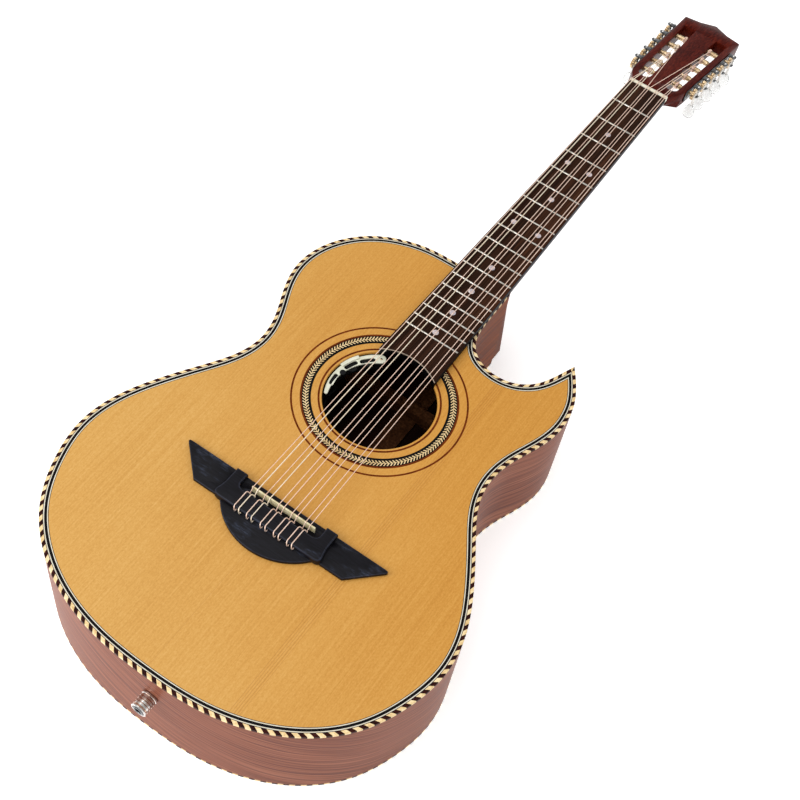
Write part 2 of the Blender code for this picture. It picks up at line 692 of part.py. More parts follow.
def worm(name, side, frame):
    """A worm with its shaft and its button, which points behind the head."""
    profile = [(6.0, 1.2), (3.5, 1.2), (3.5, 2.8), (-4.6, 2.8), (-4.6, 1.2), (-7.0, 1.2), (-7.0, 2.0),
               (-18.5, 2.0), (-20, 5.0), (-25, 6.6), (-30.5, 6.2), (-34, 3.0)]
    piece = turned(name, [(along * MM, radius * MM) for along, radius in profile], "nickel",
                   sides=10, flat=0.55)
    piece.matrix_world = frame @ Matrix.Translation((side * COG_MID, WORM_OFFSET, 0))


# ---------------------------------------------------------------- strings

def head_run(name):
    """The straight run of a string from its post to the nut."""
    nut_x, _, radius, index = STRINGS[name]
    side = -1 if nut_x < 0 else 1
    wind = Vector((-side * (SLOT_INSET + (3 - index) * MM), 0, POST_R + FIT + radius * MM))
    nut = Vector((nut_x * MM, NUT_Y + 1.5 * MM, FRET_Z + 0.4 * MM + radius * MM))
    return [tuner_frame(side, index) @ wind, nut]


def strings():
    """Ten strings, each from its post over nut and saddle into the tie block."""
    for name, (_, saddle_x, radius, _) in STRINGS.items():
        x = saddle_x * MM
        bend_r = SADDLE_HALF + FIT + radius * MM
        path = head_run(name)
        for turn in (math.radians(92), math.radians(122), math.radians(150)):
            path.append(Vector((x, SADDLE_Y + bend_r * math.cos(turn),
                                SADDLE_TOP - SADDLE_HALF + bend_r * math.sin(turn))))
        path += [Vector((x, y, STRING_HOLE_Z)) for y in (BLOCK_FRONT, BLOCK_REAR - 1.5 * MM)]
        tube(name, path, radius * MM, "bronze", sides=6)


# ---------------------------------------------------------------- electronics

def ring_point(angle, radius, z):
    """A point round the soundhole."""
    return Vector((radius * math.cos(angle), HOLE_Y + radius * math.sin(angle), z))


def preamp():
    """The curved preamp in the soundhole, with its two thumbwheels."""
    low, high = TOP - 14 * MM, TOP - 2 * MM
    inner, outer = 41.0 * MM, 51.4 * MM
    start, end, steps = math.radians(121), math.radians(211), 12
    turns = [start + (end - start) * k / steps for k in range(steps + 1)]
    outside = [ring_point(turn, outer, 0) for turn in turns]
    inside = [ring_point(turn, inner, 0) for turn in reversed(turns)]
    housing = prism("preamp_housing", [(p.x, p.y) for p in outside + inside], low, high, "ivory_plastic")
    for word, angle in WHEELS.items():
        centre = ring_point(angle, WHEEL_RING, high)
        pocket = turned("pocket", [(-4.2 * MM, WHEEL_R + 0.4 * MM), (2 * MM, WHEEL_R + 0.4 * MM)],
                        "black_plastic", sides=18)
        cut(housing, bake(pocket, Matrix.Translation(centre)))
        pin = turned("pin", [(-5 * MM, 0.9 * MM), (-1.0 * MM, 0.9 * MM)], "ivory_plastic", sides=8)
        join(housing, bake(pin, Matrix.Translation(centre)))
        rings = [(-3.9 * MM, WHEEL_R), (-0.9 * MM, WHEEL_R), (-0.9 * MM, 1.3 * MM), (-3.9 * MM, 1.3 * MM)]
        wheel = turned(f"preamp_{word}_wheel", rings, "black_plastic", sides=18, closed=True)
        wheel.location = centre
    return low


def leads(preamp_low):
    """The pickup's lead and the lead to the jack, along their fixed routes."""
    x, y = pickup_end()
    underside = preamp_low - 2 * FIT
    arrive = ring_point(math.radians(200), 46 * MM, underside)
    route = [(x, y, TOP + 1.0 * MM), (x, y, TOP - 6 * MM), (x, y, TOP - 14 * MM),
             (18 * MM, -45 * MM, TOP - 24 * MM), (-20 * MM, 5 * MM, TOP - 26 * MM),
             (arrive.x, arrive.y - 8 * MM, TOP - 23 * MM), (arrive.x, arrive.y, TOP - 19 * MM), arrive]
    tube("pickup_lead", smooth_path(route, 26), 0.8 * MM, "black_plastic", sides=6)
    leave = ring_point(math.radians(186), 46 * MM, underside)
    inside_y = JACK.y + 46 * MM + FIT
    route = [leave, leave - Vector((0, 0, 8 * MM)), (-58 * MM, 40 * MM, TOP - 34 * MM),
             (-60 * MM, -20 * MM, 62 * MM), (-50 * MM, -100 * MM, 48 * MM), (-26 * MM, -160 * MM, 52 * MM),
             (JACK.x, inside_y + 16 * MM, JACK.z), (JACK.x, inside_y + 6 * MM, JACK.z),
             (JACK.x, inside_y, JACK.z)]
    tube("jack_lead", smooth_path(route, 30), 1.3 * MM, "black_plastic", sides=6)


def jack():
    """The output jack in the tail, and the collar that holds it and the strap."""
    barrel = [(46, 4.0), (30, 4.0), (30, 5.6), (-16.4, 5.6), (-16.4, 4.0), (-17, 4.0), (-17, 3.2), (10, 3.2)]
    piece = turned("endpin_jack", [(along * MM, radius * MM) for along, radius in barrel], "nickel",
                   axis="Y", sides=18)
    bake(piece, Matrix.Translation(JACK))
    collar = [(-0.6, 7.0), (-2.0, 7.0), (-3.0, 6.7), (-14.0, 6.7), (-15.6, 7.3), (-16.4, 7.3),
              (-16.4, 5.95), (-0.6, 5.95)]
    piece = turned("jack_collar", [(along * MM, radius * MM) for along, radius in collar], "nickel",
                   axis="Y", sides=18, closed=True)
    bake(piece, Matrix.Translation(JACK))


def main():
    """Clears the scene and models the instrument."""
    for old in list(bpy.data.objects):
        bpy.data.objects.remove(old)
    bodywork()
    blocks()
    bracing()
    bridge()
    neck()
    fingerboard()
    tuners()
    strings()
    leads(preamp())
    jack()


main()
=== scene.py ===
"""The looks of the bajo quinto: its visible pieces, their materials, the light and the camera.

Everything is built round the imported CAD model, in its frame: the instrument lies on its
back, +Z points out of the soundboard, +Y runs to the head and +X is the treble side.
Lengths are in millimetres, but in metres in the materials and on the stage.
"""

from math import asin, copysign, cos, pi, radians, sin

import bmesh
import bpy
import numpy as np
from mathutils import Matrix, Vector


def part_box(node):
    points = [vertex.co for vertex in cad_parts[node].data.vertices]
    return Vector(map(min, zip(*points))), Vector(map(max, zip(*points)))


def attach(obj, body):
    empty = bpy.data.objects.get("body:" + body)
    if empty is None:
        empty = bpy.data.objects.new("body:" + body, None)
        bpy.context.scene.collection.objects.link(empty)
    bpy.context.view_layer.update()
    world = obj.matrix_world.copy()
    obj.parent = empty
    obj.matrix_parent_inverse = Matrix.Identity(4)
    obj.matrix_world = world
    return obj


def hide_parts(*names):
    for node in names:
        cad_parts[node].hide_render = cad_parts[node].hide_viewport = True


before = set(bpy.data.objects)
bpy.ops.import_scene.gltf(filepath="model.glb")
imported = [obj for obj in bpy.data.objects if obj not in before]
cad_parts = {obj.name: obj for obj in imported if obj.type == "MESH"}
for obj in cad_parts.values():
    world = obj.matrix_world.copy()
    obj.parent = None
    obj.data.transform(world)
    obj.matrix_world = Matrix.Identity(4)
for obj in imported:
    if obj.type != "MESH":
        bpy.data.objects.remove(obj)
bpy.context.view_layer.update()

MM = 0.001
ROOT = "instrument"


def corners_of(name):
    """The low and the high corner of a CAD node's box."""
    return [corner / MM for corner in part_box(name)]


# Heights and places, read from the frame
TOP = corners_of("soundboard")[1].z
PLATE = TOP - corners_of("soundboard")[0].z
BINDING = TOP - corners_of("top_binding")[0].z
BOARD_LOW, FRET_Z = (corner.z for corner in corners_of("fingerboard"))
NUT_LOW, NUT_HIGH = corners_of("nut")
NUT_Y = NUT_LOW.y
NUT_DEPTH = NUT_HIGH.y - NUT_Y
SADDLE_LOW, SADDLE_HIGH = corners_of("saddle")
SADDLE_Y = (SADDLE_LOW.y + SADDLE_HIGH.y) / 2 + 1.2  # a little nearer the soundhole than in CAD
SADDLE_HALF = 0.8
SADDLE_ENDS = (-31, 34.5)
HOLE_Y = sum(corner.y for corner in corners_of("rosette_band")) / 2
BRIDGE_FRONT = corners_of("bridge")[1].y
BLOCK_REAR = NUT_Y - 671.3
BLOCK_FRONT = NUT_Y - 654.5
BLOCK_TOP = corners_of("bridge")[1].z
STRING_HOLE_Z = TOP + 6
PREAMP_LOW, PREAMP_TOP = (corner.z for corner in corners_of("preamp_housing"))

# The body and the fingerboard
RIM = 2.4
HOLE_R = 52
FRETS = 18
SCALE = 650
BOARD_TOP = FRET_Z - 1
BOARD_HALF_NUT = NUT_HIGH.x
BOARD_HALF_LAST = 30
SLAB_TOP = TOP + 4
HEEL_Y = 250.8

# The head and its tuners
HEAD_TILT = radians(12)
HEAD_DROP = 3.5
HEAD_THICK = 19
EDGE_ANGLE = radians(1.6)
EDGE_HALF = 30.8
SLOT_INSET = 14.6
SLOT_HALF = 7.2
SLOT_ENDS = (16.5, 159)
SLOT_CORNER = 1.8
POST_FIRST = 138.5
POST_PITCH = 24.15
POST_DEPTH = 6
POST_R = 3.2
PER_SIDE = 5
TEETH = 14
COG_R = 6.2
COG_MID = 6.4
WORM_R = 2.8
WORM_CORE = 1.9
WORM_OFFSET = COG_R + WORM_R + 0.3
SIDES = {"bass": -1, "treble": 1}

# Outer edge of the body: the upper left, the lower left down to the tail, the treble side up
# to the horn, and the cutaway.
EDGE_UPPER_LEFT = [
    (-32, 250.5), (-66, 248), (-88.7, 241.2), (-109.4, 230.2), (-127, 214.6), (-140.5, 195),
    (-148.4, 173), (-150, 153), (-144.3, 126), (-129.5, 90)]
EDGE_LOWER = [
    (-124.6, 64), (-129, 40), (-147, 6), (-170, -33), (-187.4, -74.7), (-191.3, -106),
    (-184, -144), (-164, -185.3), (-131, -217.4), (-90, -238.2), (-45, -248.4)]
EDGE_HORN = [
    (128.8, 91.7), (139.3, 119.7), (146.3, 149), (145.8, 165.3), (142.2, 181.1), (135.6, 195.2),
    (128.9, 206.1), (121, 217)]
EDGE_CUTAWAY = [
    (121, 217), (113.5, 198), (102.2, 177.7), (84.2, 165.1), (62.3, 163), (41.4, 172.2),
    (32.5, 186), (29.5, 205), (29, 250.5)]
EDGE_END = 250.6            # half the body's length, on its middle line
DENSE = 500                 # points of each curve before it is respaced
PARALLEL = 1e-12            # stands for no crossing at all, so that nothing is divided by zero
SHARPEST = 0.35             # holds back the corners of a loop that is moved inwards

# Courses from bass to treble: x at the nut, x at the saddle, the radius, the post that winds
# the string, counted from the far end of its side, and its finish.
STRINGS = {
    "string_1a": (-21.4, -29.8, 0.38, 4, "bronze"), "string_1b": (-18.6, -25.0, 0.55, 3, "gold"),
    "string_2a": (-12.2, -16.9, 0.36, 2, "bronze"), "string_2b": (-9.4, -11.9, 0.50, 1, "gold"),
    "string_3a": (-1.6, -2.5, 0.40, 0, "bronze"), "string_3b": (1.2, 2.5, 0.40, 0, "bronze"),
    "string_4a": (9.0, 11.2, 0.37, 1, "bronze"), "string_4b": (11.8, 16.2, 0.37, 2, "bronze"),
    "string_5a": (18.6, 24.9, 0.35, 3, "bronze"), "string_5b": (21.3, 29.8, 0.35, 4, "bronze"),
}


# ---------- materials

def tone(red, green, blue):
    """A display colour, 0 to 255, as a shader colour."""
    linear = []
    for value in (red, green, blue):
        share = value / 255
        linear.append(share / 12.92 if share <= 0.04045 else ((share + 0.055) / 1.055) ** 2.4)
    return (*linear, 1.0)


class Look:
    """A material with short ways to add and link its nodes."""

    def __init__(self, name, slot=None, **sockets):
        self.name = name
        self.material = bpy.data.materials.new(name)
        self.material.use_nodes = True
        self.slot = slot or name
        self.tree = self.material.node_tree
        self.shader = self.tree.nodes["Principled BSDF"]
        for socket, value in sockets.items():
            self.shader.inputs[socket.replace("_", " ")].default_value = value

    def add(self, kind, inputs, **settings):
        """A node with its settings, and with its inputs set or linked."""
        node = self.tree.nodes.new("ShaderNode" + kind)
        for key, value in settings.items():
            setattr(node, key, value)
        for key, value in inputs.items():
            if isinstance(value, bpy.types.NodeSocket):
                self.tree.links.new(value, node.inputs[key])
            else:
                node.inputs[key].default_value = value
        return node

    def place(self):
        """The point on the piece."""
        return self.add("TexCoord", {}).outputs["Object"]

    def run_place(self, wander=0.03, slope=0.3):
        """The point unrolled along the body's edge, height then run, with sloping, wandering grain."""
        run = self.add("Attribute", {}, attribute_name="run").outputs["Fac"]
        height = self.add("SeparateXYZ", {0: self.place()}).outputs["Z"]
        sway = self.noise(self.add("CombineXYZ", {0: height, 1: run, 2: 0.0}).outputs[0], (2, 6, 1), 1.0)
        height = self.math("MULTIPLY_ADD", sway, wander, self.math("MULTIPLY_ADD", run, slope, height))
        return self.add("CombineXYZ", {0: height, 1: run, 2: 0.0}).outputs[0]

    def stretch(self, place, factors):
        """The place, scaled by one factor for each axis."""
        return self.add("VectorMath", {0: place, 1: factors}, operation="MULTIPLY").outputs[0]

    def noise(self, place, factors, detail=3.0, roughness=0.55, distortion=0.0):
        """Noise over the place, with its own number of cells per metre along each axis."""
        inputs = {"Vector": self.stretch(place, factors), "Scale": 1.0, "Detail": detail,
                  "Roughness": roughness, "Distortion": distortion}
        return self.add("TexNoise", inputs).outputs["Fac"]

    def math(self, operation, *values):
        """One step of arithmetic."""
        return self.add("Math", dict(enumerate(values)), operation=operation).outputs[0]

    def times(self, first, second):
        """The product of two values."""
        return self.math("MULTIPLY", first, second)

    def span(self, value, low, high, to_low=0.0, to_high=1.0):
        """The value, mapped from one span to another and held inside it."""
        inputs = {0: value, 1: low, 2: high, 3: to_low, 4: to_high}
        return self.add("MapRange", inputs).outputs[0]

    def ramp(self, value, *stops):
        """Colours at places from 0 to 1."""
        node = self.add("ValToRGB", {0: value})
        bands = node.color_ramp.elements
        bands[0].position, bands[0].color = stops[0]
        bands[1].position, bands[1].color = stops[-1]
        for position, colour in stops[1:-1]:
            bands.new(position).color = colour
        return node.outputs[0]

    def mix(self, share, first, second, blend="MIX"):
        """Two colours, mixed by a share."""
        inputs = {"Factor": share, 6: first, 7: second}
        return self.add("Mix", inputs, data_type="RGBA", blend_type=blend).outputs[2]

    def finish(self, colour, roughness=None, height=None, strength=0.2):
        """Links the results to the shader."""
        results = {"Base Color": colour, "Roughness": roughness}
        if height is not None:
            inputs = {"Strength": strength, "Distance": 0.1 * MM, "Height": height}
            results["Normal"] = self.add("Bump", inputs).outputs[0]
        for socket, result in results.items():
            if result is not None:
                self.tree.links.new(result, self.shader.inputs[socket])
        return self


def wood(name, tones, fine, broad, pores=None, along_run=False, slot=None,
         roughness=(0.35, 0.45), gloss=0.12, bump=0.15, contrast=0.14, figured=0.45):
    """Grained wood in three tones. fine, broad and pores are cells per metre along each axis."""
    made = Look(name, slot, Specular_IOR_Level=gloss)
    dark, middle, light = (tone(*display) for display in tones)
    place = made.run_place() if along_run else made.place()
    lines = made.noise(place, fine, detail=4.0)
    figure = made.noise(place, broad, detail=2.0, distortion=0.4)
    grain = made.math("MULTIPLY_ADD", lines, 1 - figured, made.times(figure, figured))
    colour = made.ramp(grain, (0.5 - contrast, dark), (0.5, middle), (0.5 + contrast, light))
    height = lines
    if pores:
        holes = made.span(made.noise(place, pores, detail=1.0), 0.60, 0.68)
        colour = made.mix(made.times(holes, 0.6), colour, dark)
        height = made.math("SUBTRACT", lines, holes)
    return made.finish(colour, made.span(lines, 0.3, 0.7, *roughness), height, bump)


def inlay(name, tones, gloss=0.12):
    """Wood of small inlaid pieces, too small to show where the grain runs."""
    return wood(name, tones, (500, 500, 500), (90, 90, 90), slot="rope", gloss=gloss)


def spruce():
    """The golden top: fine even grain, small specks, a few darker lines on the treble side, and painted
    shade towards the neck and the treble side.
    """
    made = Look("spruce", Specular_IOR_Level=0.2)
    place = made.place()
    lines = made.noise(place, (620, 5, 620), roughness=0.6)
    cloud = made.noise(place, (9, 5, 9), detail=2.0)
    specks = made.noise(place, (900, 520, 900), detail=2.0, roughness=0.7)
    grain = made.math("MULTIPLY_ADD", lines, 0.36, made.times(cloud, 0.18))
    grain = made.math("MULTIPLY_ADD", specks, 0.46, grain)
    colour = made.ramp(grain, (0.24, tone(179, 125, 53)), (0.5, tone(200, 151, 78)),
                       (0.76, tone(214, 172, 105)))
    across, length, _ = made.add("SeparateXYZ", {0: place}).outputs
    # Painted shade: the top darkens and turns more orange towards the neck and the treble side, away from
    # the key light, and is brightest at the lower bass side.
    deep = made.span(made.math("MULTIPLY_ADD", length, 0.7, across), -0.2, 0.15)
    colour = made.mix(deep, colour, (0.97, 0.84, 0.56, 1), "MULTIPLY")
    wander = made.noise(place, (4, 9, 4), detail=1.0)
    line_x = made.math("MULTIPLY_ADD", wander, 1.2 * MM, across)
    pitch, first, last = 2.1 * MM, 73.5 * MM, 82.5 * MM
    turn = made.math("SINE", made.times(line_x, 2 * pi / pitch))
    inside = made.times(made.math("GREATER_THAN", line_x, first), made.math("LESS_THAN", line_x, last))
    strip = made.times(made.span(turn, 0.55, 0.95), inside)
    seam = made.math("LESS_THAN", made.math("ABSOLUTE", across), 0.25 * MM)
    marks = made.math("MAXIMUM", made.times(strip, 0.42), made.times(seam, 0.25))
    colour = made.mix(marks, colour, tone(152, 90, 38))
    return made.finish(colour, made.span(lines, 0.3, 0.7, 0.34, 0.46), lines, 0.08)


def ebony(name, dark, light, scuffs):
    """Near-black wood with pale blue scuffs; scuffs is their strength."""
    made = Look(name, "ebony", Specular_IOR_Level=0.12)
    place = made.place()
    lines = made.noise(place, (60, 900, 900))
    patches = made.noise(place, (28, 60, 60), roughness=0.7)
    scratches = made.noise(place, (160, 900, 900), detail=4.0, roughness=0.75)
    scuff = made.times(made.span(patches, 0.54, 0.74), made.span(scratches, 0.42, 0.66))
    scuff = made.times(scuff, scuffs)
    shade = made.ramp(lines, (0.3, tone(*dark)), (0.7, tone(*light)))
    colour = made.mix(scuff, shade, tone(88, 98, 122))
    return made.finish(colour, made.span(scuff, 0, 1, 0.42, 0.68), lines)


def metal(name, colour, stain, slot=None, roughness=(0.18, 0.34), wound=None, metallic=1.0):
    """Bright metal with faint stains; wound gives the pitch of a winding along Y."""
    made = Look(name, slot, Metallic=metallic)
    place = made.place()
    stains = made.noise(place, (260, 260, 260))
    brush = made.noise(place, (2600, 500, 2600), detail=2.0)
    shade = made.mix(made.span(stains, 0.4, 0.75), tone(*colour), tone(*stain))
    height = brush
    if wound:
        length = made.add("SeparateXYZ", {0: place}).outputs["Y"]
        height = made.math("SINE", made.times(length, 2 * pi / wound))
    return made.finish(shade, made.span(brush, 0.3, 0.7, *roughness), height, 0.15)


def plastic(name, colour, shade, roughness=(0.25, 0.4), slot=None, **sockets):
    """Moulded plastic or polished bone with a faint texture."""
    made = Look(name, slot, **sockets)
    place = made.place()
    cloud = made.noise(place, (180, 60, 180))
    skin = made.noise(place, (1800, 1800, 1800), detail=2.0)
    tint = made.ramp(cloud, (0.3, tone(*shade)), (0.7, tone(*colour)))
    return made.finish(tint, made.span(skin, 0.3, 0.7, *roughness), skin, 0.05)


def pearl():
    """Mother of pearl: soft patches of grey, pink and white."""
    made = Look("pearl", "bone", Coat_Weight=0.6, Coat_Roughness=0.08)
    cells = made.add("TexVoronoi", {"Vector": made.stretch(made.place(), (420, 260, 420)), "Scale": 1.0})
    distance = cells.outputs["Distance"]
    tint = made.ramp(distance, (0.1, tone(236, 226, 222)), (0.45, tone(206, 190, 190)),
                     (0.8, tone(176, 172, 182)))
    return made.finish(tint, made.span(distance, 0, 1, 0.15, 0.35))


SAPELE = ((88, 40, 27), (127, 72, 52), (155, 100, 77))
PALE_WOOD = ((84, 46, 24), (112, 66, 38), (136, 86, 52))
MATT = (0.55, 0.7)


def make_looks():
    """Every material, by name."""
    looks = [
        spruce(), pearl(),
        ebony("ebony", (10, 9, 12), (22, 21, 27), 0.6),
        # Lighter, bluer ebony with more scuffs for the bridge's rounded upper edges: the scuffs are wear,
        # the lighter blue tone is a painted highlight.
        ebony("worn_and_sheen_ebony", (23, 24, 31), (44, 47, 59), 0.8),
        wood("side_wood", SAPELE, (430, 6, 1), (24, 3, 1), (800, 14, 1), along_run=True,
             slot="sapele", bump=0.12, contrast=0.17, gloss=0.05, figured=0.1),
        # A darker, more saturated copy of the side wood for the cutaway: painted shade, as the cutaway faces
        # away from the lamps.
        wood("cutaway_shaded_wood", ((90, 40, 20), (122, 62, 34), (146, 80, 46)), (430, 6, 1), (24, 3, 1),
             along_run=True, slot="sapele", contrast=0.16, gloss=0.02, figured=0.12),
        wood("heel_wood", ((86, 39, 19), (113, 57, 31), (134, 73, 41)), (700, 700, 14), (50, 50, 5),
             slot="mahogany", gloss=0.03),
        wood("sapele", SAPELE, (520, 8, 520), (60, 4, 60), (1100, 18, 1100)),
        # A much darker copy of the sapele for the inside of the back: painted shade inside the body.
        wood("inner_shaded_wood", ((20, 9, 6), (32, 15, 10), (46, 23, 15)), (520, 8, 520), (60, 4, 60),
             slot="sapele", roughness=(0.6, 0.75), gloss=0.05),
        wood("mahogany", ((44, 8, 4), (74, 19, 11), (98, 32, 18)), (700, 14, 700), (50, 5, 50),
             roughness=(0.16, 0.26), gloss=0.03, bump=0.05),
        wood("rosewood", ((24, 11, 5), (46, 25, 14), (74, 44, 28)), (900, 14, 900), (60, 4, 60),
             (1500, 60, 1500), roughness=(0.42, 0.6), gloss=0.05),
        wood("dyed_edge", ((8, 8, 11), (15, 16, 21), (28, 30, 38)), (900, 14, 900), (60, 4, 60),
             slot="rosewood", roughness=(0.35, 0.5), gloss=0.04),
        wood("cedar", PALE_WOOD, (400, 12, 400), (40, 5, 40), roughness=MATT),
        wood("maple", PALE_WOOD, (12, 500, 500), (5, 50, 50), roughness=MATT),
        # A much darker copy of the spruce for the braces: painted shade inside the body.
        wood("brace_shaded_wood", ((60, 34, 19), (86, 51, 29), (114, 74, 45)), (420, 420, 420),
             (30, 30, 30), slot="spruce", roughness=MATT, gloss=0.05),
        inlay("rope_light", ((206, 170, 116), (230, 202, 150), (242, 222, 182))),
        inlay("herring_light", ((204, 172, 122), (226, 198, 146), (238, 214, 168))),
        inlay("rope_dark", ((28, 10, 9), (44, 16, 13), (64, 27, 20)), 0.05),
        inlay("line_brown", ((78, 30, 4), (98, 40, 6), (118, 54, 14)), 0.05),
        plastic("line_black", (10, 9, 10), (5, 5, 6), slot="purfling", Specular_IOR_Level=0.08),
        plastic("line_white", (222, 216, 200), (204, 195, 174), slot="purfling", Specular_IOR_Level=0.15),
        plastic("bone", (238, 234, 218), (222, 214, 188)),
        plastic("saddle_bone", (230, 222, 186), (184, 168, 122), slot="bone"),
        plastic("worn_bone", (168, 152, 134), (140, 124, 108), slot="bone"),
        plastic("ivory_plastic", (222, 222, 204), (204, 206, 184)),
        plastic("black_plastic", (14, 14, 15), (8, 8, 9), (0.4, 0.6), Specular_IOR_Level=0.15),
        plastic("clear_plastic", (248, 248, 246), (238, 239, 238), (0.06, 0.12), "nickel",
                Transmission_Weight=0.78, IOR=1.42),
        metal("brass", (206, 182, 146), (120, 92, 62)),
        metal("nickel", (220, 218, 214), (160, 154, 148), None, (0.1, 0.2)),
        # Brownish nickel for the grooves of the jack's collar: a painted reflection of the brown sides.
        metal("brown_reflection_nickel", (196, 164, 144), (120, 66, 44), "nickel", (0.1, 0.2)),
        metal("dark_nickel", (112, 114, 116), (66, 66, 68), "nickel", (0.2, 0.35)),
        metal("fret_wire", (198, 194, 186), (156, 148, 136), "nickel", (0.2, 0.35)),
        metal("steel", (150, 150, 152), (110, 106, 102)),
        metal("copper_film", (196, 130, 90), (150, 92, 60)),
        metal("bronze", (255, 228, 210), (246, 206, 184), None, (0.4, 0.55), 0.42 * MM, 0.75),
        metal("gold", (255, 242, 220), (246, 224, 192), "bronze", (0.35, 0.5), 0.5 * MM, 0.75),
    ]
    return {made.name: made for made in looks}


LOOKS = make_looks()


# ---------- small helpers

def spread(first, last, steps):
    """Even values from the first to the last."""
    return [first + (last - first) * k / steps for k in range(steps + 1)]


def turns_of(count):
    """The angles of a full circle's points."""
    return [2 * pi * k / count for k in range(count)]


def circle(radius, count):
    """Points of a flat circle, anticlockwise."""
    return [(radius * cos(turn), radius * sin(turn)) for turn in turns_of(count)]


def shaped_ring(count, radius_at, height):
    """A ring round +Z whose radius depends on the angle."""
    return [(radius_at(turn) * cos(turn), radius_at(turn) * sin(turn), height) for turn in turns_of(count)]


def polar(radius, turn):
    """A flat point round the soundhole."""
    return (radius * cos(turn), HOLE_Y + radius * sin(turn))


def mirrored(points):
    """Flat points on the other side of the middle, in the opposite order."""
    return [(-x, y) for x, y in reversed(points)]


def signed_power(value, power):
    """The value's size to a power, with the value's sign."""
    return copysign(abs(value) ** power, value)


def shift(x, y, z=0.0):
    """The frame at a place."""
    return Matrix.Translation((x, y, z))


# ---------- outline

def length_of(curve):
    """How far each point is along the curve."""
    return np.r_[0, np.cumsum(np.hypot(*np.diff(curve[:, :2], axis=0).T))]


def spline(points):
    """The natural cubic curve through the points, as DENSE points."""
    knots = np.array(points, float)
    at = length_of(knots)
    step = np.diff(at)
    system = np.diag(np.r_[1, 2 * (step[:-1] + step[1:]), 1])
    system += np.diag(np.r_[step[:-1], 0], -1) + np.diag(np.r_[0, step[1:]], 1)
    right = np.zeros_like(knots)
    right[1:-1] = 6 * np.diff(np.diff(knots, axis=0) / step[:, None], axis=0)
    bend = np.linalg.solve(system, right)
    wanted = np.linspace(0, at[-1], DENSE)
    k = np.clip(np.searchsorted(at, wanted, side="right") - 1, 0, len(step) - 1)
    h = step[k][:, None]
    a = (at[k + 1] - wanted)[:, None] / h
    b = 1 - a
    curve = a * knots[k] + b * knots[k + 1]
    return curve + ((a ** 3 - a) * bend[k] + (b ** 3 - b) * bend[k + 1]) * h * h / 6


def left_of(direction):
    """The flat directions a quarter turn to the left."""
    return np.stack([-direction[:, 1], direction[:, 0]], 1)


def inset_curve(curve, inset):
    """The curve moved to its left, which is the inside of the body, with the old run as column 3."""
    tangent = np.gradient(curve, axis=0)
    tangent /= np.hypot(*tangent.T)[:, None]
    return np.column_stack([curve + inset * left_of(tangent), length_of(curve)])


def trim(before, after):
    """Both curves, cut off where the end of the first one crosses the second."""
    p, r = before[:-1, None, :2], np.diff(before[:, :2], axis=0)[:, None]
    q, s = after[None, :-1, :2], np.diff(after[:, :2], axis=0)[None]
    cross = r[..., 0] * s[..., 1] - r[..., 1] * s[..., 0]
    cross[cross == 0] = PARALLEL
    gap = q - p
    t = (gap[..., 0] * s[..., 1] - gap[..., 1] * s[..., 0]) / cross
    u = (gap[..., 0] * r[..., 1] - gap[..., 1] * r[..., 0]) / cross
    hits = np.argwhere((t >= 0) & (t <= 1) & (u >= 0) & (u <= 1))
    i, j = max(hits, key=lambda hit: hit[0] - hit[1])
    end = before[i] + t[i, j] * (before[i + 1] - before[i])
    start = after[j] + u[i, j] * (after[j + 1] - after[j])
    return np.vstack([before[:i + 1], end]), np.vstack([start, after[j + 1:]])


def edge_parts(inset):
    """The body's edge at an inset, anticlockwise: its round part and its cutaway.

    The columns are x, y and the run of the same place on the edge itself.
    """
    round_body = [EDGE_CUTAWAY[-1], (0, EDGE_END)] + EDGE_UPPER_LEFT + EDGE_LOWER
    round_body += [(0, -EDGE_END)] + mirrored(EDGE_LOWER) + EDGE_HORN
    body, cutaway = (inset_curve(spline(points), inset) for points in (round_body, EDGE_CUTAWAY))
    if inset > 0:
        body, cutaway = trim(body, cutaway)
        cutaway, body = trim(cutaway, body)
    return body, cutaway


EDGE_LENGTHS = [length_of(part)[-1] for part in edge_parts(0)]


def outline(inset):
    """The body's edge at an inset, as one closed loop."""
    loop = []
    for curve, count in zip(edge_parts(inset), (420, 160)):
        at = length_of(curve)
        wanted = np.arange(count) / count * at[-1]
        loop.append(np.stack([np.interp(wanted, at, curve[:, k]) for k in (0, 1)], 1))
    return np.vstack(loop)


def inset_loop(loop, inset):
    """A closed anticlockwise loop, moved inwards; a negative inset widens it."""
    points = np.array(loop, float)
    ahead = np.roll(points, -1, 0) - points
    ahead /= np.hypot(*ahead.T)[:, None]
    first, second = left_of(np.roll(ahead, 1, 0)), left_of(ahead)
    share = np.maximum(1 + (first * second).sum(1), SHARPEST)
    return points + inset * (first + second) / share[:, None]


# ---------- meshes

def add_object(name, data):
    """A new object in the scene."""
    made = bpy.data.objects.new(name, data)
    bpy.context.scene.collection.objects.link(made)
    return made


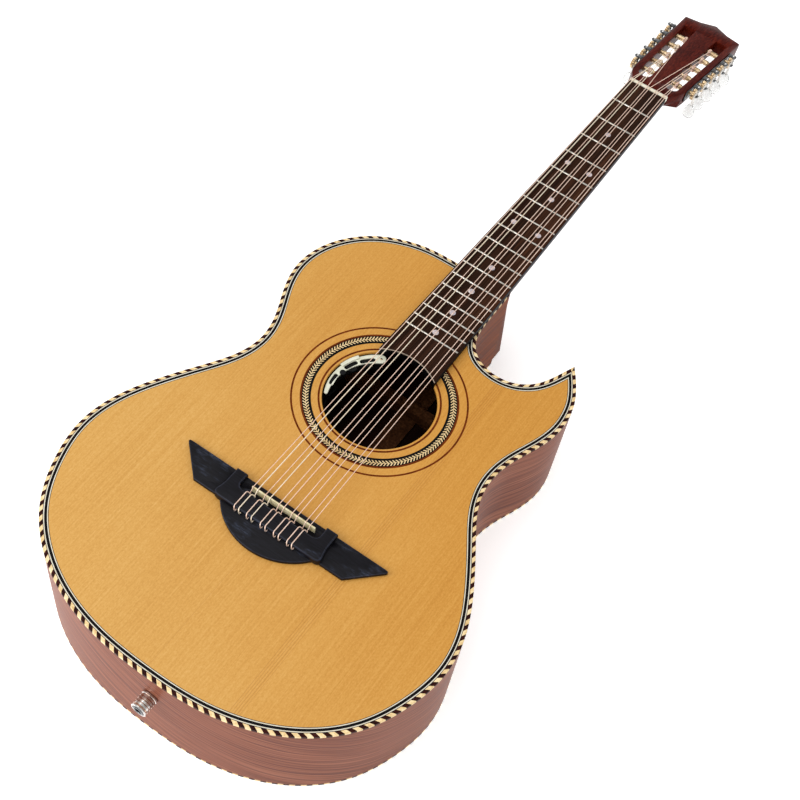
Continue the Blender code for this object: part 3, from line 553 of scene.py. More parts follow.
class Piece:
    """A mesh in the making, with the looks of its faces."""

    def __init__(self, name, *looks):
        self.name = name
        self.looks = looks
        self.mesh = bmesh.new()
        self.run = self.mesh.loops.layers.float.new("run")

    def face(self, corners, look=0, runs=()):
        """One face, with its look and how far along the body's edge each corner is."""
        made = self.mesh.faces.new(corners)
        made.material_index = look
        for loop, run in zip(made.loops, runs):
            loop[self.run] = run * MM

    def ring(self, points, matrix=Matrix()):
        """The vertices of a ring, moved by a matrix."""
        return [self.mesh.verts.new(matrix @ Vector(point) * MM) for point in points]

    def bridge(self, first, second, look=0):
        """The band of faces between two rings."""
        for k in range(len(first)):
            n = (k + 1) % len(first)
            self.face((first[k], first[n], second[n], second[k]), look)

    def stack(self, levels, matrix=Matrix(), look=0, side_looks=None):
        """A solid through levels; each level is a height and loops: an edge, then holes.

        Its ends have the look, or the first look where they have holes.
        """
        rows = [[self.ring([(x, y, z) for x, y in loop], matrix) for loop in loops]
                for z, loops in levels]
        for lower, upper, side_look in zip(rows, rows[1:], side_looks or [look] * len(rows)):
            for first, second in zip(lower, upper):
                self.bridge(first, second, side_look)
        for row in (rows[0], rows[-1]):
            if len(row) == 1:
                self.face(row[0], look)
            else:
                pairs = [(ring[k - 1], ring[k]) for ring in row for k in range(len(ring))]
                edges = [self.mesh.edges.get(pair) for pair in pairs]
                bmesh.ops.triangle_fill(self.mesh, use_beauty=True, edges=edges)

    def slab(self, edge, low, high, soft, holes=(), matrix=Matrix(), side_look=0, rim_look=0, steps=3):
        """A flat solid between two heights, with softened edges; the upper one has the rim's look."""
        turns = spread(pi / 2, 0, steps)
        levels = [(low + soft * (1 - sin(turn)), soft * (1 - cos(turn))) for turn in turns]
        levels += [(low + high - z, inset) for z, inset in reversed(levels)]
        side_looks = [side_look] * (steps + 1) + [rim_look] * steps
        self.stack([inset_level(z, inset, edge, holes) for z, inset in levels], matrix, 0, side_looks)

    def loft(self, rings, matrix=Matrix(), looks=0, closed=False):
        """A solid through rings of equal length; looks is one look or a list with one for each band."""
        made = [self.ring(points, matrix) for points in rings]
        bands = looks if isinstance(looks, list) else [looks] * len(made)
        for look, first, second in zip(bands, made, made[1:]):
            self.bridge(first, second, look)
        if closed:
            self.bridge(made[-1], made[0], bands[-1])
        else:
            self.face(made[0], bands[0])
            self.face(made[-1], bands[-1])

    def turned(self, profile, matrix=Matrix(), sides=24, looks=0, closed=False):
        """A turned solid round +Z: profile gives height and radius."""
        rings = [[(x, y, height) for x, y in circle(radius, sides)] for height, radius in profile]
        self.loft(rings, matrix, looks, closed)

    def bar(self, section, middle, stations):
        """A bar along X. Its section is round the middle; a station is an x and the section's two scales."""
        self.loft([[(x, middle[0] + y * wide, middle[1] + z * tall) for y, z in section]
                   for x, wide, tall in stations])

    def tube(self, path, radius, sides=10):
        """A round tube with capped ends along a path."""
        points = [Vector(point) for point in path]
        across = (points[1] - points[0]).normalized().orthogonal().normalized()
        rings = []
        for k, point in enumerate(points):
            ahead = (points[min(k + 1, len(points) - 1)] - points[max(k - 1, 0)]).normalized()
            across = (across - ahead * across.dot(ahead)).normalized()
            other = ahead.cross(across)
            rings.append([point + across * x + other * y for x, y in circle(radius, sides)])
        self.loft(rings)

    def swept(self, rows, pick, stations):
        """A closed strip: rows are the long lines of its section, pick gives a cell's look."""
        lines = [self.ring(points) for points in rows]
        count = len(lines[0])
        for r, first in enumerate(lines):
            second = lines[(r + 1) % len(lines)]
            for k in range(count):
                n = (k + 1) % count
                runs = (stations[k], stations[k + 1], stations[k + 1], stations[k])
                self.face((first[k], first[n], second[n], second[k]), pick(k, r), runs)

    def done(self, *stands_for, body=ROOT, angle=35):
        """The finished object, on its body, in place of its CAD nodes."""
        bmesh.ops.recalc_face_normals(self.mesh, faces=self.mesh.faces)
        data = bpy.data.meshes.new(self.name)
        self.mesh.to_mesh(data)
        self.mesh.free()
        for look in self.looks:
            data.materials.append(LOOKS[look].material)
        data.shade_smooth()
        data.set_sharp_from_angle(angle=radians(angle))
        made = add_object(self.name, data)
        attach(made, body)
        if stands_for:
            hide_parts(*stands_for)
        return made


def inset_level(z, inset, edge, holes):
    """A level of a stack, with its edge moved inwards and its holes widened."""
    return z, [inset_loop(edge, inset)] + [inset_loop(hole, -inset) for hole in holes]


def carve(made, tool):
    """Takes the tool away from the piece; the tool is used up."""
    step = made.modifiers.new("carve", "BOOLEAN")
    step.operation = "DIFFERENCE"
    step.object = tool
    bpy.context.view_layer.update()
    shape = made.evaluated_get(bpy.context.evaluated_depsgraph_get())
    made.data = bpy.data.meshes.new_from_object(shape)
    made.modifiers.clear()
    bpy.data.objects.remove(tool)


def smooth_path(points, count):
    """count points on the smooth curve through the given points."""
    knots = [Vector(point) for point in points]
    knots = [2 * knots[0] - knots[1]] + knots + [2 * knots[-1] - knots[-2]]
    spans = len(knots) - 3
    path = []
    for place in spread(0, spans, count - 1):
        span = min(int(place), spans - 1)
        t = place - span
        a, b, c, d = knots[span:span + 4]
        path.append(0.5 * (2 * b + (c - a) * t + (2 * a - 5 * b + 4 * c - d) * t ** 2
                           + (3 * b - a - 3 * c + d) * t ** 3))
    return path


# ---------- body

RIM_CELLS = (460, 180)      # cells along the sides' round part and along the cutaway
ROPE_PITCH = 9.7
ROPE_CELLS = 8              # cells along one pair of blocks
ROPE_LIGHT = 4              # cells of the light block
SLANTS = (1.0, -1.0)        # how far the joints of both parts run forward for each step outward
SLANT_EASES = (60, 12)      # the slant fades this close to the parts' ends
END_SPREAD = 0.02           # keeps the stations that the corner holds back a little apart


def edge_strip(piece, rows, cells, pick):
    """A closed strip along the body's edge; rows give inset, height and slant."""
    lines = []
    for inset, height, slant in rows:
        line = []
        parts = zip(edge_parts(inset), cells, EDGE_LENGTHS, SLANTS, SLANT_EASES)
        for curve, count, length, lean, ease_length in parts:
            shares = np.arange(count) / count
            ease = np.clip(np.minimum(shares, 1 - shares) * length / ease_length, 0, 1)
            start, end = curve[0, 2], curve[-1, 2]
            runs = np.clip(shares * length - slant * lean * ease, start, end)
            runs += END_SPREAD * (start + (end - start) * shares - runs)
            x, y = (np.interp(runs, curve[:, 2], curve[:, k]) for k in (0, 1))
            line += [(x[k], y[k], height) for k in range(count)]
        lines.append(line)
    first, second = EDGE_LENGTHS
    stations = spread(0, first, cells[0])[:-1] + spread(first, first + second, cells[1])
    piece.swept(lines, pick, stations)


def rope(name, low, high, node, slanted_high):
    """A rope binding of alternate light and dark blocks."""
    soft = 0.35
    cells = [round(length / ROPE_PITCH) * ROPE_CELLS for length in EDGE_LENGTHS]
    section = [(0, low + soft), (0, high - soft), (soft, high), (BINDING, high), (BINDING, low), (soft, low)]
    rows = [(inset, height, inset if slanted_high == (height > (low + high) / 2) else 0.0)
            for inset, height in section]
    piece = Piece(name, "rope_light", "rope_dark")
    edge_strip(piece, rows, cells, lambda k, r: 0 if k % ROPE_CELLS < ROPE_LIGHT else 1)
    piece.done(node)


def bodywork():
    """Sides, plates, bindings and purfling."""
    rim = Piece("sides", "side_wood", "cutaway_shaded_wood")
    low, high = BINDING, TOP - BINDING
    rows = [(0, low, 0), (0, high, 0), (RIM, high, 0), (RIM, low, 0)]
    # The cutaway's cells get the darker, more saturated copy of the side wood: painted shade.
    edge_strip(rim, rows, RIM_CELLS, lambda k, r: 0 if k < RIM_CELLS[0] else 1)
    rim.done("side_rim")
    rope("rope_top", TOP - BINDING, TOP, "top_binding", True)
    rope("rope_back", 0, BINDING, "back_binding", False)

    inset, rows, band_looks = BINDING, [(BINDING, TOP, 0)], []
    for width, look in [(0.5, 0), (0.8, 1), (2.3, 0), (0.8, 1), (0.5, 0)]:
        inset += width
        rows.append((inset, TOP, 0))
        band_looks.append(look)
    rows += [(inset, TOP - 1.5, 0), (BINDING, TOP - 1.5, 0)]
    lines = Piece("purfling_lines", "line_black", "line_white")
    edge_strip(lines, rows, RIM_CELLS, lambda k, r: band_looks[r] if r < len(band_looks) else 0)
    lines.done("top_purfling")

    hole = [polar(HOLE_R, turn) for turn in turns_of(180)]
    board = Piece("top_plate", "spruce")
    edge = outline(inset)
    soft = 0.5
    board.stack([(TOP - PLATE, [edge, hole]), (TOP - soft, [edge, hole]),
                 (TOP, [edge, inset_loop(hole, -soft)])])
    board.done("soundboard")
    back = Piece("bottom_plate", "sapele", "inner_shaded_wood")
    edge = outline(BINDING)
    back.stack([(0, [edge]), (PLATE - soft, [edge])])
    # The inner face of the back has the darker inner wood: painted shade inside the body.
    back.stack([(PLATE - soft, [edge]), (PLATE, [edge])], look=1)
    back.done("back_plate")


CHEVRON_CELLS = 5
CHEVRON_LIGHT = 2           # cells of the light stroke
CHEVRON_LEAN = 1.9
PROUD = 0.06                # inlays stand this much above the wood, so both can be seen


def hole_ring(name, bands, looks, count, *stands_for):
    """A flat inlaid ring round the soundhole; each band has its radii, slants and look, or stripes."""
    cells = count * CHEVRON_CELLS
    high, low = TOP + PROUD, TOP - 0.5
    edges = [(bands[0][0], bands[0][2], high)] + [(outer, slant, high) for _, outer, _, slant, _ in bands]
    edges += [(edges[-1][0], 0, low), (edges[0][0], 0, low)]
    lines = [[(*polar(radius, turn + slant / radius), height) for turn in turns_of(cells)]
             for radius, slant, height in edges]

    def pick(k, r):
        look = bands[r][4] if r < len(bands) else 0
        if look == "stripes":
            return 1 if k % CHEVRON_CELLS < CHEVRON_LIGHT else 0
        return look

    piece = Piece(name, *looks)
    piece.swept(lines, pick, range(cells + 1))
    piece.done(*stands_for)


def rosette():
    """The chevron band in two halves and the two thin brown rings round the soundhole."""
    for name, radius, width in (("rosette_inner_line", 54.9, 1.8), ("rosette_outer_line", 79.4, 1.7)):
        hole_ring(name, [(radius - width / 2, radius + width / 2, 0, 0, 0)], ("line_brown",), 90)
    looks = ("line_black", "herring_light", "line_brown")
    lean = CHEVRON_LEAN
    inner = [(61.8, 64.0, 0, 0, 0), (64.0, 66.3, 0, lean, "stripes"), (66.3, 66.5, lean, lean, 1)]
    outer = [(66.5, 66.7, lean, lean, 1), (66.7, 69.2, lean, 0, "stripes"), (69.2, 70.0, 0, 0, 0),
             (70.0, 71.7, 0, 0, 2)]
    hole_ring("rosette_inner", inner, looks, 134, "rosette_band")
    hole_ring("rosette_outer", outer, looks, 143)


# ---------- neck

SHAFT_DEPTH = 15
SHAFT_DEEPER = 3            # what the shaft gains in depth between the nut and the heel
SHAFT_SQUARE = 0.9          # below 1, the shaft's section is squarer than an oval


def board_half(y):
    """Half width of the fingerboard at y."""
    return BOARD_HALF_NUT + (BOARD_HALF_LAST - BOARD_HALF_NUT) * (NUT_Y - y) / (NUT_Y - fret_y(FRETS))


def fret_y(number):
    """Where a fret crosses the fingerboard."""
    return NUT_Y - SCALE + SCALE / 2 ** (number / 12)


def head_frame():
    """The frame of the head's face: +Y towards its tip, +Z out of the face."""
    return shift(0, NUT_Y + 6, FRET_Z - HEAD_DROP) @ Matrix.Rotation(-HEAD_TILT, 4, "X")


def edge_lean(side):
    """The turn from the head's middle line to one of its edges."""
    return Matrix.Rotation(-side * EDGE_ANGLE, 4, "Z")


def tuner_frame(side, index):
    """The frame of a post: +X times side points out of the head's edge."""
    post = shift(0, POST_FIRST - index * POST_PITCH, -POST_DEPTH)
    return head_frame() @ shift(side * EDGE_HALF, 0) @ edge_lean(side) @ post


def neck():
    """The shaft with its heel, and the slotted head."""
    piece = Piece("neck_wood", "mahogany", "heel_wood")
    section = [(signed_power(cos(turn), SHAFT_SQUARE), signed_power(sin(turn), SHAFT_SQUARE))
               for turn in spread(0, pi, 40)]
    rings = []
    for y in spread(HEEL_Y, NUT_Y + 12, 24):
        half = board_half(min(y, NUT_Y)) - 0.3
        depth = SHAFT_DEPTH + SHAFT_DEEPER * (NUT_Y - y) / (NUT_Y - HEEL_Y)
        rings.append([(half * x, y, TOP - depth * z) for x, z in section])
    piece.loft(rings)
    heights = (6, TOP - 55, TOP - 34, TOP - 22, TOP - 14, TOP - 0.5)
    half = 28.6
    rings = []
    for z in spread(heights[0], heights[-1], 28):
        side_y = np.interp(z, heights, (266.5, 258, 254.5, 252.5, 252, 252))
        front_y = np.interp(z, heights, (277, 279, 282, 287, 292, 296))
        ring = [(-half, HEEL_Y, z)]
        for across in spread(-1, 1, 32):
            ring.append((half * across, side_y + (front_y - side_y) * (1 - across * across), z))
        rings.append(ring + [(half, HEEL_Y, z)])
    piece.loft(rings, looks=1)

    shoulder = [(22.6, 0.8), (24.5, 6), (28.5, 14), (31.3, 22), (31.8, 34)]
    under = [(9, 0.8), (13, 6), (20, 14), (30.8, 22), (31.8, 34)]
    tip = [(35.7, 178.4), (17.6, 182.0)]
    low, high = (points + tip + [(0, 190.9)] + mirrored(points + tip) for points in (under, shoulder))
    holes = [slot_loop(side) for side in SIDES.values()]
    soft = 0.7
    levels = [(-HEAD_THICK, low, soft), (soft - HEAD_THICK, low, 0), (-9, high, 0), (-soft, high, 0),
              (-0.3 * soft, high, 0.3 * soft), (0, high, soft)]
    piece.stack([inset_level(z, inset, edge, holes) for z, edge, inset in levels], head_frame())
    piece.done("neck")


def slot_loop(side):
    """The edge of one side's slot, in the frame of the head's face."""
    loop = []
    for radius, middle, end in ((SLOT_CORNER, SLOT_ENDS[1], 1), (SLOT_HALF, SLOT_ENDS[0], -1)):
        start = 0 if end > 0 else pi
        for turn in spread(start, start + pi, 13):
            x = radius * cos(turn) + copysign(SLOT_HALF - radius, cos(turn))
            y = middle + radius * (sin(turn) - end)
            point = edge_lean(side) @ Vector((x - side * SLOT_INSET, y, 0))
            loop.append((point.x + side * EDGE_HALF, point.y))
    return loop


def fingerboard():
    """The board with its dyed edges, its pale end line, and a black band under the line that paints the
    shadow on the spruce's edge below the board's end.
    """
    start = NUT_Y - 0.1
    reach = asin(board_half(HOLE_Y + 40) / HOLE_R)
    arc = spread(pi / 2 + reach, pi / 2 - reach, 28)
    loop = [(-BOARD_HALF_NUT, start)] + [polar(HOLE_R, turn) for turn in arc] + [(BOARD_HALF_NUT, start)]
    piece = Piece("board", "rosewood", "dyed_edge")
    piece.slab(loop, BOARD_LOW, BOARD_TOP, 0.25, side_look=1, rim_look=1)
    piece.done("fingerboard")

    line = Piece("board_end_line_and_shade", "worn_bone", "line_black")
    inner, outer = HOLE_R - 0.8, HOLE_R - 0.05
    # The upper band is the pale line; the black band below it covers the spruce's edge under the board's
    # end: a painted shadow.
    for low, high, look in ((BOARD_TOP - 0.7, BOARD_TOP, 0), (TOP - PLATE, BOARD_TOP - 0.75, 1)):
        corners = [(inner, low), (outer, low), (outer, high), (inner, high)]
        line.loft([[(*polar(radius, turn), z) for radius, z in corners] for turn in arc], looks=look)
    line.done()


def frets():
    """The fret wires and the position dots."""
    wires = Piece("frets", "fret_wire")
    crown = [(1.05 * cos(turn), 1.3 * sin(turn)) for turn in spread(0, pi, 8)]
    sizes = ((-1, 0.25), (-0.99, 0.75), (-0.97, 1), (0.97, 1), (0.99, 0.75), (1, 0.25))
    for number in range(1, FRETS + 1):
        y = fret_y(number)
        half = board_half(y) - 0.5
        wires.bar(crown, (y, BOARD_TOP - 0.3), [(half * share, size, size) for share, size in sizes])
    wires.done(angle=60)

    dots = Piece("dots", "pearl")
    places = {3: (0,), 5: (-12.8, 12.8), 7: (0,), 9: (-14, 14), 12: (0,), 14: (0,), 16: (0,), 18: (0,)}
    for number, spots in places.items():
        y = (fret_y(number) + fret_y(number - 1)) / 2
        for x in spots:
            dots.turned([(-0.5, 3.0), (0.05, 3.0), (0.08, 2.9)], shift(x, y, BOARD_TOP), 32)
    dots.done()


def nut():
    """The nut, with its ends a little smaller."""
    piece = Piece("nut_bone", "bone")
    deep, tall = NUT_DEPTH / 2, (FRET_Z - BOARD_LOW) / 2
    section = [(-deep, -tall), (deep, -tall), (deep, tall - 1.3), (deep / 2, tall - 0.4),
               (-deep / 5, tall), (0.4 - deep, tall), (-deep, tall - 0.3)]
    end, soft, smaller = BOARD_HALF_NUT, 0.4, 0.94
    stations = [(-end, smaller, smaller), (soft - end, 1, 1), (end - soft, 1, 1), (end, smaller, smaller)]
    piece.bar(section, (NUT_Y + deep, BOARD_LOW + tall), stations)
    piece.done("nut")


# ---------- bridge

def bridge():
    """The moustache bridge with its tie block, drilled for the strings and cut for the saddle."""
    front, rear = BRIDGE_FRONT, NUT_Y - 669
    belly_half, belly_sag = 49, 24.4
    belly_r = (belly_half ** 2 + belly_sag ** 2) / (2 * belly_sag)
    reach = asin(belly_half / belly_r)
    belly = [(belly_r * sin(turn), rear - belly_sag + belly_r * (1 - cos(turn)))
             for turn in spread(-reach, reach, 40)]
    tip, corner = 104.5, 77.3
    right = [(corner, rear), (tip - 1, front - 3), (tip, front - 1.6), (tip - 0.6, front - 0.3),
             (tip - 3, front)]
    left = mirrored(right)
    piece = Piece("bridge_wood", "ebony", "worn_and_sheen_ebony")
    # rim_look=1 gives the slab's rounded upper edges scuffs from wear and a lighter blue tone that paints a
    # highlight along them.
    piece.slab(left[-1:] + belly + right + left[:-1], TOP, SLAB_TOP, 0.7, rim_look=1)

    arm_in, arm_out, round_r = 41.5, 52.5, 5
    flare = [(-2.5, 0), (0.8, 0.8), (2.4, 3.2), (2.2, 6.0), (1.0, 10.0), (0.2, 15.0)]
    half = [(arm_out + x, BLOCK_REAR + y) for x, y in flare] + [(arm_out, front), (arm_in, front)]
    half += [(arm_in - round_r * (1 - cos(turn)), BLOCK_FRONT + round_r * (1 - sin(turn)))
             for turn in spread(0, pi / 2, 8)]
    # The crown's rounded upper edges get the same wear and painted highlight.
    piece.slab(half + mirrored(half), TOP + 1, BLOCK_TOP, 1.3, rim_look=1)
    made = piece.done("bridge")
    tool = Piece("string_drills", "ebony")
    for _, saddle_x, *_ in STRINGS.values():
        spot = shift(saddle_x, BLOCK_REAR - 4, STRING_HOLE_Z)
        tool.turned([(0, 1), (24, 1)], spot @ Matrix.Rotation(-pi / 2, 4, "X"), 14)
    room, end_room = SADDLE_HALF + 0.15, 0.4
    left, right = SADDLE_ENDS[0] - end_room, SADDLE_ENDS[1] + end_room
    groove = [(left, SADDLE_Y - room), (right, SADDLE_Y - room), (right, SADDLE_Y + room),
              (left, SADDLE_Y + room)]
    tool.stack([(SADDLE_LOW.z - 0.2, [groove]), (SLAB_TOP + 1, [groove])])
    carve(made, tool.done())


def saddle():
    """The bone saddle with its round crown."""
    piece = Piece("saddle_bone", "saddle_bone")
    tall = (SADDLE_HIGH.z - SADDLE_LOW.z) / 2
    crown = [(SADDLE_HALF * cos(turn), tall - SADDLE_HALF * (1 - sin(turn))) for turn in spread(pi, 0, 12)]
    section = [(-SADDLE_HALF, -tall)] + crown + [(SADDLE_HALF, -tall)]
    (start, end), soft = SADDLE_ENDS, 0.4
    stations = [(start, 0.8, 0.98), (start + soft, 1, 1), (end - soft, 1, 1), (end, 0.8, 0.98)]
    piece.bar(section, (SADDLE_Y, SADDLE_LOW.z + tall), stations)
    piece.done("saddle")


# ---------- strings

WIND_TURNS = 3.5
WIND_STEPS = 20             # points of one turn
WIND_PITCH = 2.15           # from turn to turn, in radii of the string
LOOP_ASIDE = -2.3           # how far beside its string a tie loop runs back over the block
LOOP_R = 0.5                # the least radius of a tie loop


def strings():
    """Ten strings, with their turns round the posts and their loops on the tie block."""
    for name, (nut_x, x, thick, index, finish) in STRINGS.items():
        word = "bass" if nut_x < 0 else "treble"
        side = SIDES[word]
        matrix = tuner_frame(side, index)
        wind_x = -side * (SLOT_INSET + 3 - index)
        start = matrix @ Vector((wind_x, 0, POST_R + 0.3 + thick))
        over_nut = Vector((nut_x, NUT_Y + 1.5, FRET_Z + 0.4 + thick))
        path = [start, over_nut + (start - over_nut).normalized() * 2, over_nut,
                over_nut - Vector((0, 3, 0))]
        bend_r = SADDLE_HALF + 0.1 + thick
        for turn in map(radians, (88, 100, 112, 124, 136, 150)):
            path.append((x, SADDLE_Y + bend_r * cos(turn), SADDLE_HIGH.z - SADDLE_HALF + bend_r * sin(turn)))
        front, rear, low, top = BLOCK_FRONT, BLOCK_REAR, STRING_HOLE_Z, BLOCK_TOP + thick
        path += [(x, front + 1.2, low), (x, front, low), (x, rear - 0.5, low)]
        piece = Piece(name + "_line", finish)
        piece.tube(path, thick)
        far = x + LOOP_ASIDE
        loop = [(x, rear - 0.5, low), (x - 0.2, rear - 1.7, low), (x - 0.7, rear - 1.9, low + 1.5),
                (x - 1.5, rear - 1, top - 0.5), (far, rear + 0.9, top), (far, rear + 4, top),
                (far, front - 3, top), (far, front - 0.9, top), (far + 0.4, front + 0.7, top - 0.6),
                (far + 1.6, front + 1.3, top - 1.6), (x + thick * 2, front + 1.5, low + 1.2)]
        piece.tube(smooth_path(loop, 44), max(thick, LOOP_R))
        piece.done(name)

        coil = Piece(name + "_windings", finish)
        reach = POST_R + 0.15 + thick
        path = []
        for turn in spread(0, 2 * pi * WIND_TURNS, int(WIND_TURNS * WIND_STEPS)):
            across = wind_x - side * WIND_PITCH * thick * turn / (2 * pi)
            path.append(matrix @ Vector((across, -reach * sin(turn), reach * cos(turn))))
        coil.tube(path, thick, sides=8)
        coil.done(body=f"post_{word}_{index + 1}")


# ---------- tuners

PLATE_FACE = 1.5
EYE_R = 3.4
BUTTON_FLAT = 0.55
BUTTON_SQUARE = 0.8         # below 1, the button's section is squarer than an oval


def cog_ring(height, scale=1.0):
    """One ring of the toothed wheel, round +Z."""
    def radius_at(turn):
        tooth = min(1.0, max(0.0, 0.5 + 1.1 * cos(TEETH * turn)))
        return (COG_R - 1.1 * (1 - tooth)) * scale

    return shaped_ring(TEETH * 8, radius_at, height)


def outward(side):
    """The frame whose +Z points out of the head's edge."""
    return Matrix.Rotation(side * pi / 2, 4, "Y")


def post(side, index, label):
    """A post with its drum, its toothed wheel and the screw that holds it."""
    matrix = tuner_frame(side, index) @ outward(side)
    piece = Piece(f"post_{label}_metal", "brass", "nickel")
    drum = [(-26, 1.6), (-25.6, 2.0), (-21.6, 2.0), (-21.4, 3.1), (-20.7, 3.1), (-20.5, 2.3),
            (-18.6, 2.3), (-18.4, 3.0), (-10.4, 3.0), (-10.2, 2.3), (-8.6, 2.3), (-8.4, 3.1),
            (-7.7, 3.1), (-7.5, 2.4), (4.2, 2.4)]
    piece.turned(drum, matrix, 28)
    mid = COG_MID
    wheel = [cog_ring(mid - 2, 0.95), cog_ring(mid - 1.8), cog_ring(mid + 1.2), cog_ring(mid + 1.4, 0.95)]
    piece.loft(wheel, matrix)
    dome = [(mid + 1.2, 2.6), (mid + 1.9, 2.6), (mid + 2.2, 2.3), (mid + 2.35, 1.4), (mid + 2, 1),
            (mid + 2, 0.4)]
    piece.turned(dome, matrix, 20, looks=1)
    piece.done("tuner_post_" + label, body="post_" + label)


def worm(side, index, label):
    """A threaded worm with its shaft, and the clear button behind the head."""
    matrix = tuner_frame(side, index) @ shift(side * COG_MID, WORM_OFFSET)
    body = "worm_" + label
    piece = Piece(body + "_metal", "nickel")
    pitch = 2 * pi * (COG_R - 0.6) / TEETH
    steps = 36
    rings = []
    for step, z in enumerate(spread(-4.6, 3.5, steps)):
        half = (WORM_R - WORM_CORE) / 2 * min(1.0, 6 * min(step, steps - step) / steps)
        phase = 2 * pi * z / pitch
        rings.append(shaped_ring(20, lambda turn: WORM_CORE + half * (1 + cos(turn - phase)), z))
    piece.loft(rings, matrix)
    piece.turned([(3.0, 1.2), (5.9, 1.2), (6.0, 1.1)], matrix, 16)
    piece.turned([(-18.4, 1.7), (-18, 2.0), (-12, 1.7), (-7.6, 1.7), (-7.3, 2.0), (-7, 2.0), (-7, 1.2),
                  (-4, 1.2)], matrix, 16)
    piece.done("tuner_" + body, body=body, angle=50)

    button = Piece(body + "_button", "clear_plastic")
    profile = [(-17.6, 1.9), (-18.2, 2.8), (-19.2, 4.3), (-20.6, 5.5), (-23, 6.3), (-26, 6.6), (-29.5, 6.4),
               (-32, 5.4), (-33.4, 4.0), (-33.9, 2.2), (-34, 0.6)]
    section = [(signed_power(cos(turn), BUTTON_SQUARE), signed_power(sin(turn), BUTTON_SQUARE) * BUTTON_FLAT)
               for turn in turns_of(32)]
    rings = [[(radius * x, radius * y, height) for x, y in section] for height, radius in profile]
    button.loft(rings, matrix)
    button.done(body=body)


def tuner_plate(side, word):
    """The side plate with its screws, and a pair of curved ears for each worm."""
    piece = Piece(f"tuner_plate_{word}_metal", "dark_nickel")
    last = tuner_frame(side, PER_SIDE - 1) @ outward(side)
    start, end = -11, (PER_SIDE - 1) * POST_PITCH + 17
    bottom, top = sorted((side * 9.5, side * -4.6))
    steps, scallop = 40, 0.77
    loop = []
    for k, y in enumerate(spread(start, end, steps)):
        wave = 0.5 - 0.5 * cos(2 * pi * (y - start) / POST_PITCH)
        end_round = 2 * max(0.0, 1 - min(k, steps - k) / 1.5)
        loop.append((top - scallop * wave - end_round, y))
    loop += [(bottom + top - x, y) for x, y in reversed(loop)]
    piece.slab(loop, 0.2, PLATE_FACE, 0.25, matrix=last, steps=2)
    for index in range(PER_SIDE):
        for low, high in ((3.9, 5.3), (-6.6, -5.0)):
            piece.slab(ear_loop(side), low, high, 0.3, matrix=tuner_frame(side, index), steps=2)
    for y in [start + 3, end - 3] + [POST_PITCH * (k + 0.5) for k in range(PER_SIDE - 1)]:
        screw = [(1.3, 1.9), (1.8, 1.8), (2.3, 1.3), (2.45, 0.5), (2.2, 0.3)]
        piece.turned(screw, last @ shift(side * 1.9, y), 18)
    piece.done(f"tuner_plate_{word}", angle=40)


def ear_loop(side):
    """The outline of an ear: a curved arm that ends in a round eye over the worm's shaft."""
    root = PLATE_FACE - 0.4
    half = [(root, 4.4), (root + 1.6, 3.4)]
    open_turn = radians(125)
    eye = [(COG_MID + EYE_R * cos(turn), EYE_R * sin(turn)) for turn in spread(-open_turn, open_turn, 12)]
    loop = [(x, -y) for x, y in half] + eye + half[::-1]
    loop = [(x, WORM_OFFSET + y) for x, y in loop]
    return loop if side > 0 else mirrored(loop)


def tuners():
    """Both sides' plates, posts and worms."""
    for word, side in SIDES.items():
        tuner_plate(side, word)
        for index in range(PER_SIDE):
            label = f"{word}_{index + 1}"
            post(side, index, label)
            worm(side, index, label)


# ---------- electronics

WHEELS = {"volume": radians(139.5), "tone": radians(159.5)}
WHEEL_RING = 44.8
WHEEL_R = 5.4
JACK_SHIFT = (2.0, 5.5)     # the visible jack sits this far beside and above the CAD one
COLLAR_SHORTER = 1.2        # and its collar ends this much earlier


def arc_loop(start, end, inner, outer, inner_end=None):
    """A curved bar round the soundhole between two angles in degrees, with round ends.

    inner_end is the inner edge's radius at the far end, if the bar narrows towards it.
    """
    inner_end = inner_end or inner
    halves = [(outer - inner) / 2, (outer - inner_end) / 2]
    first = radians(start) + halves[0] / outer
    last = radians(end) - halves[1] / outer
    turns = spread(first, last, 28)
    loop = [polar(outer, turn) for turn in turns]
    loop += end_cap(last, outer - halves[1], halves[1], last)
    for turn, share in zip(reversed(turns), spread(1, 0, 28)):
        loop.append(polar(inner + (inner_end - inner) * share ** 1.5, turn))
    return loop + end_cap(first, outer - halves[0], halves[0], first + pi)


def end_cap(turn, radius, half, start):
    """The half circle that closes a curved bar, from one of its edges to the other."""
    x, y = polar(radius, turn)
    return [(x + half * cos(angle), y + half * sin(angle)) for angle in spread(start, start + pi, 8)[1:-1]]


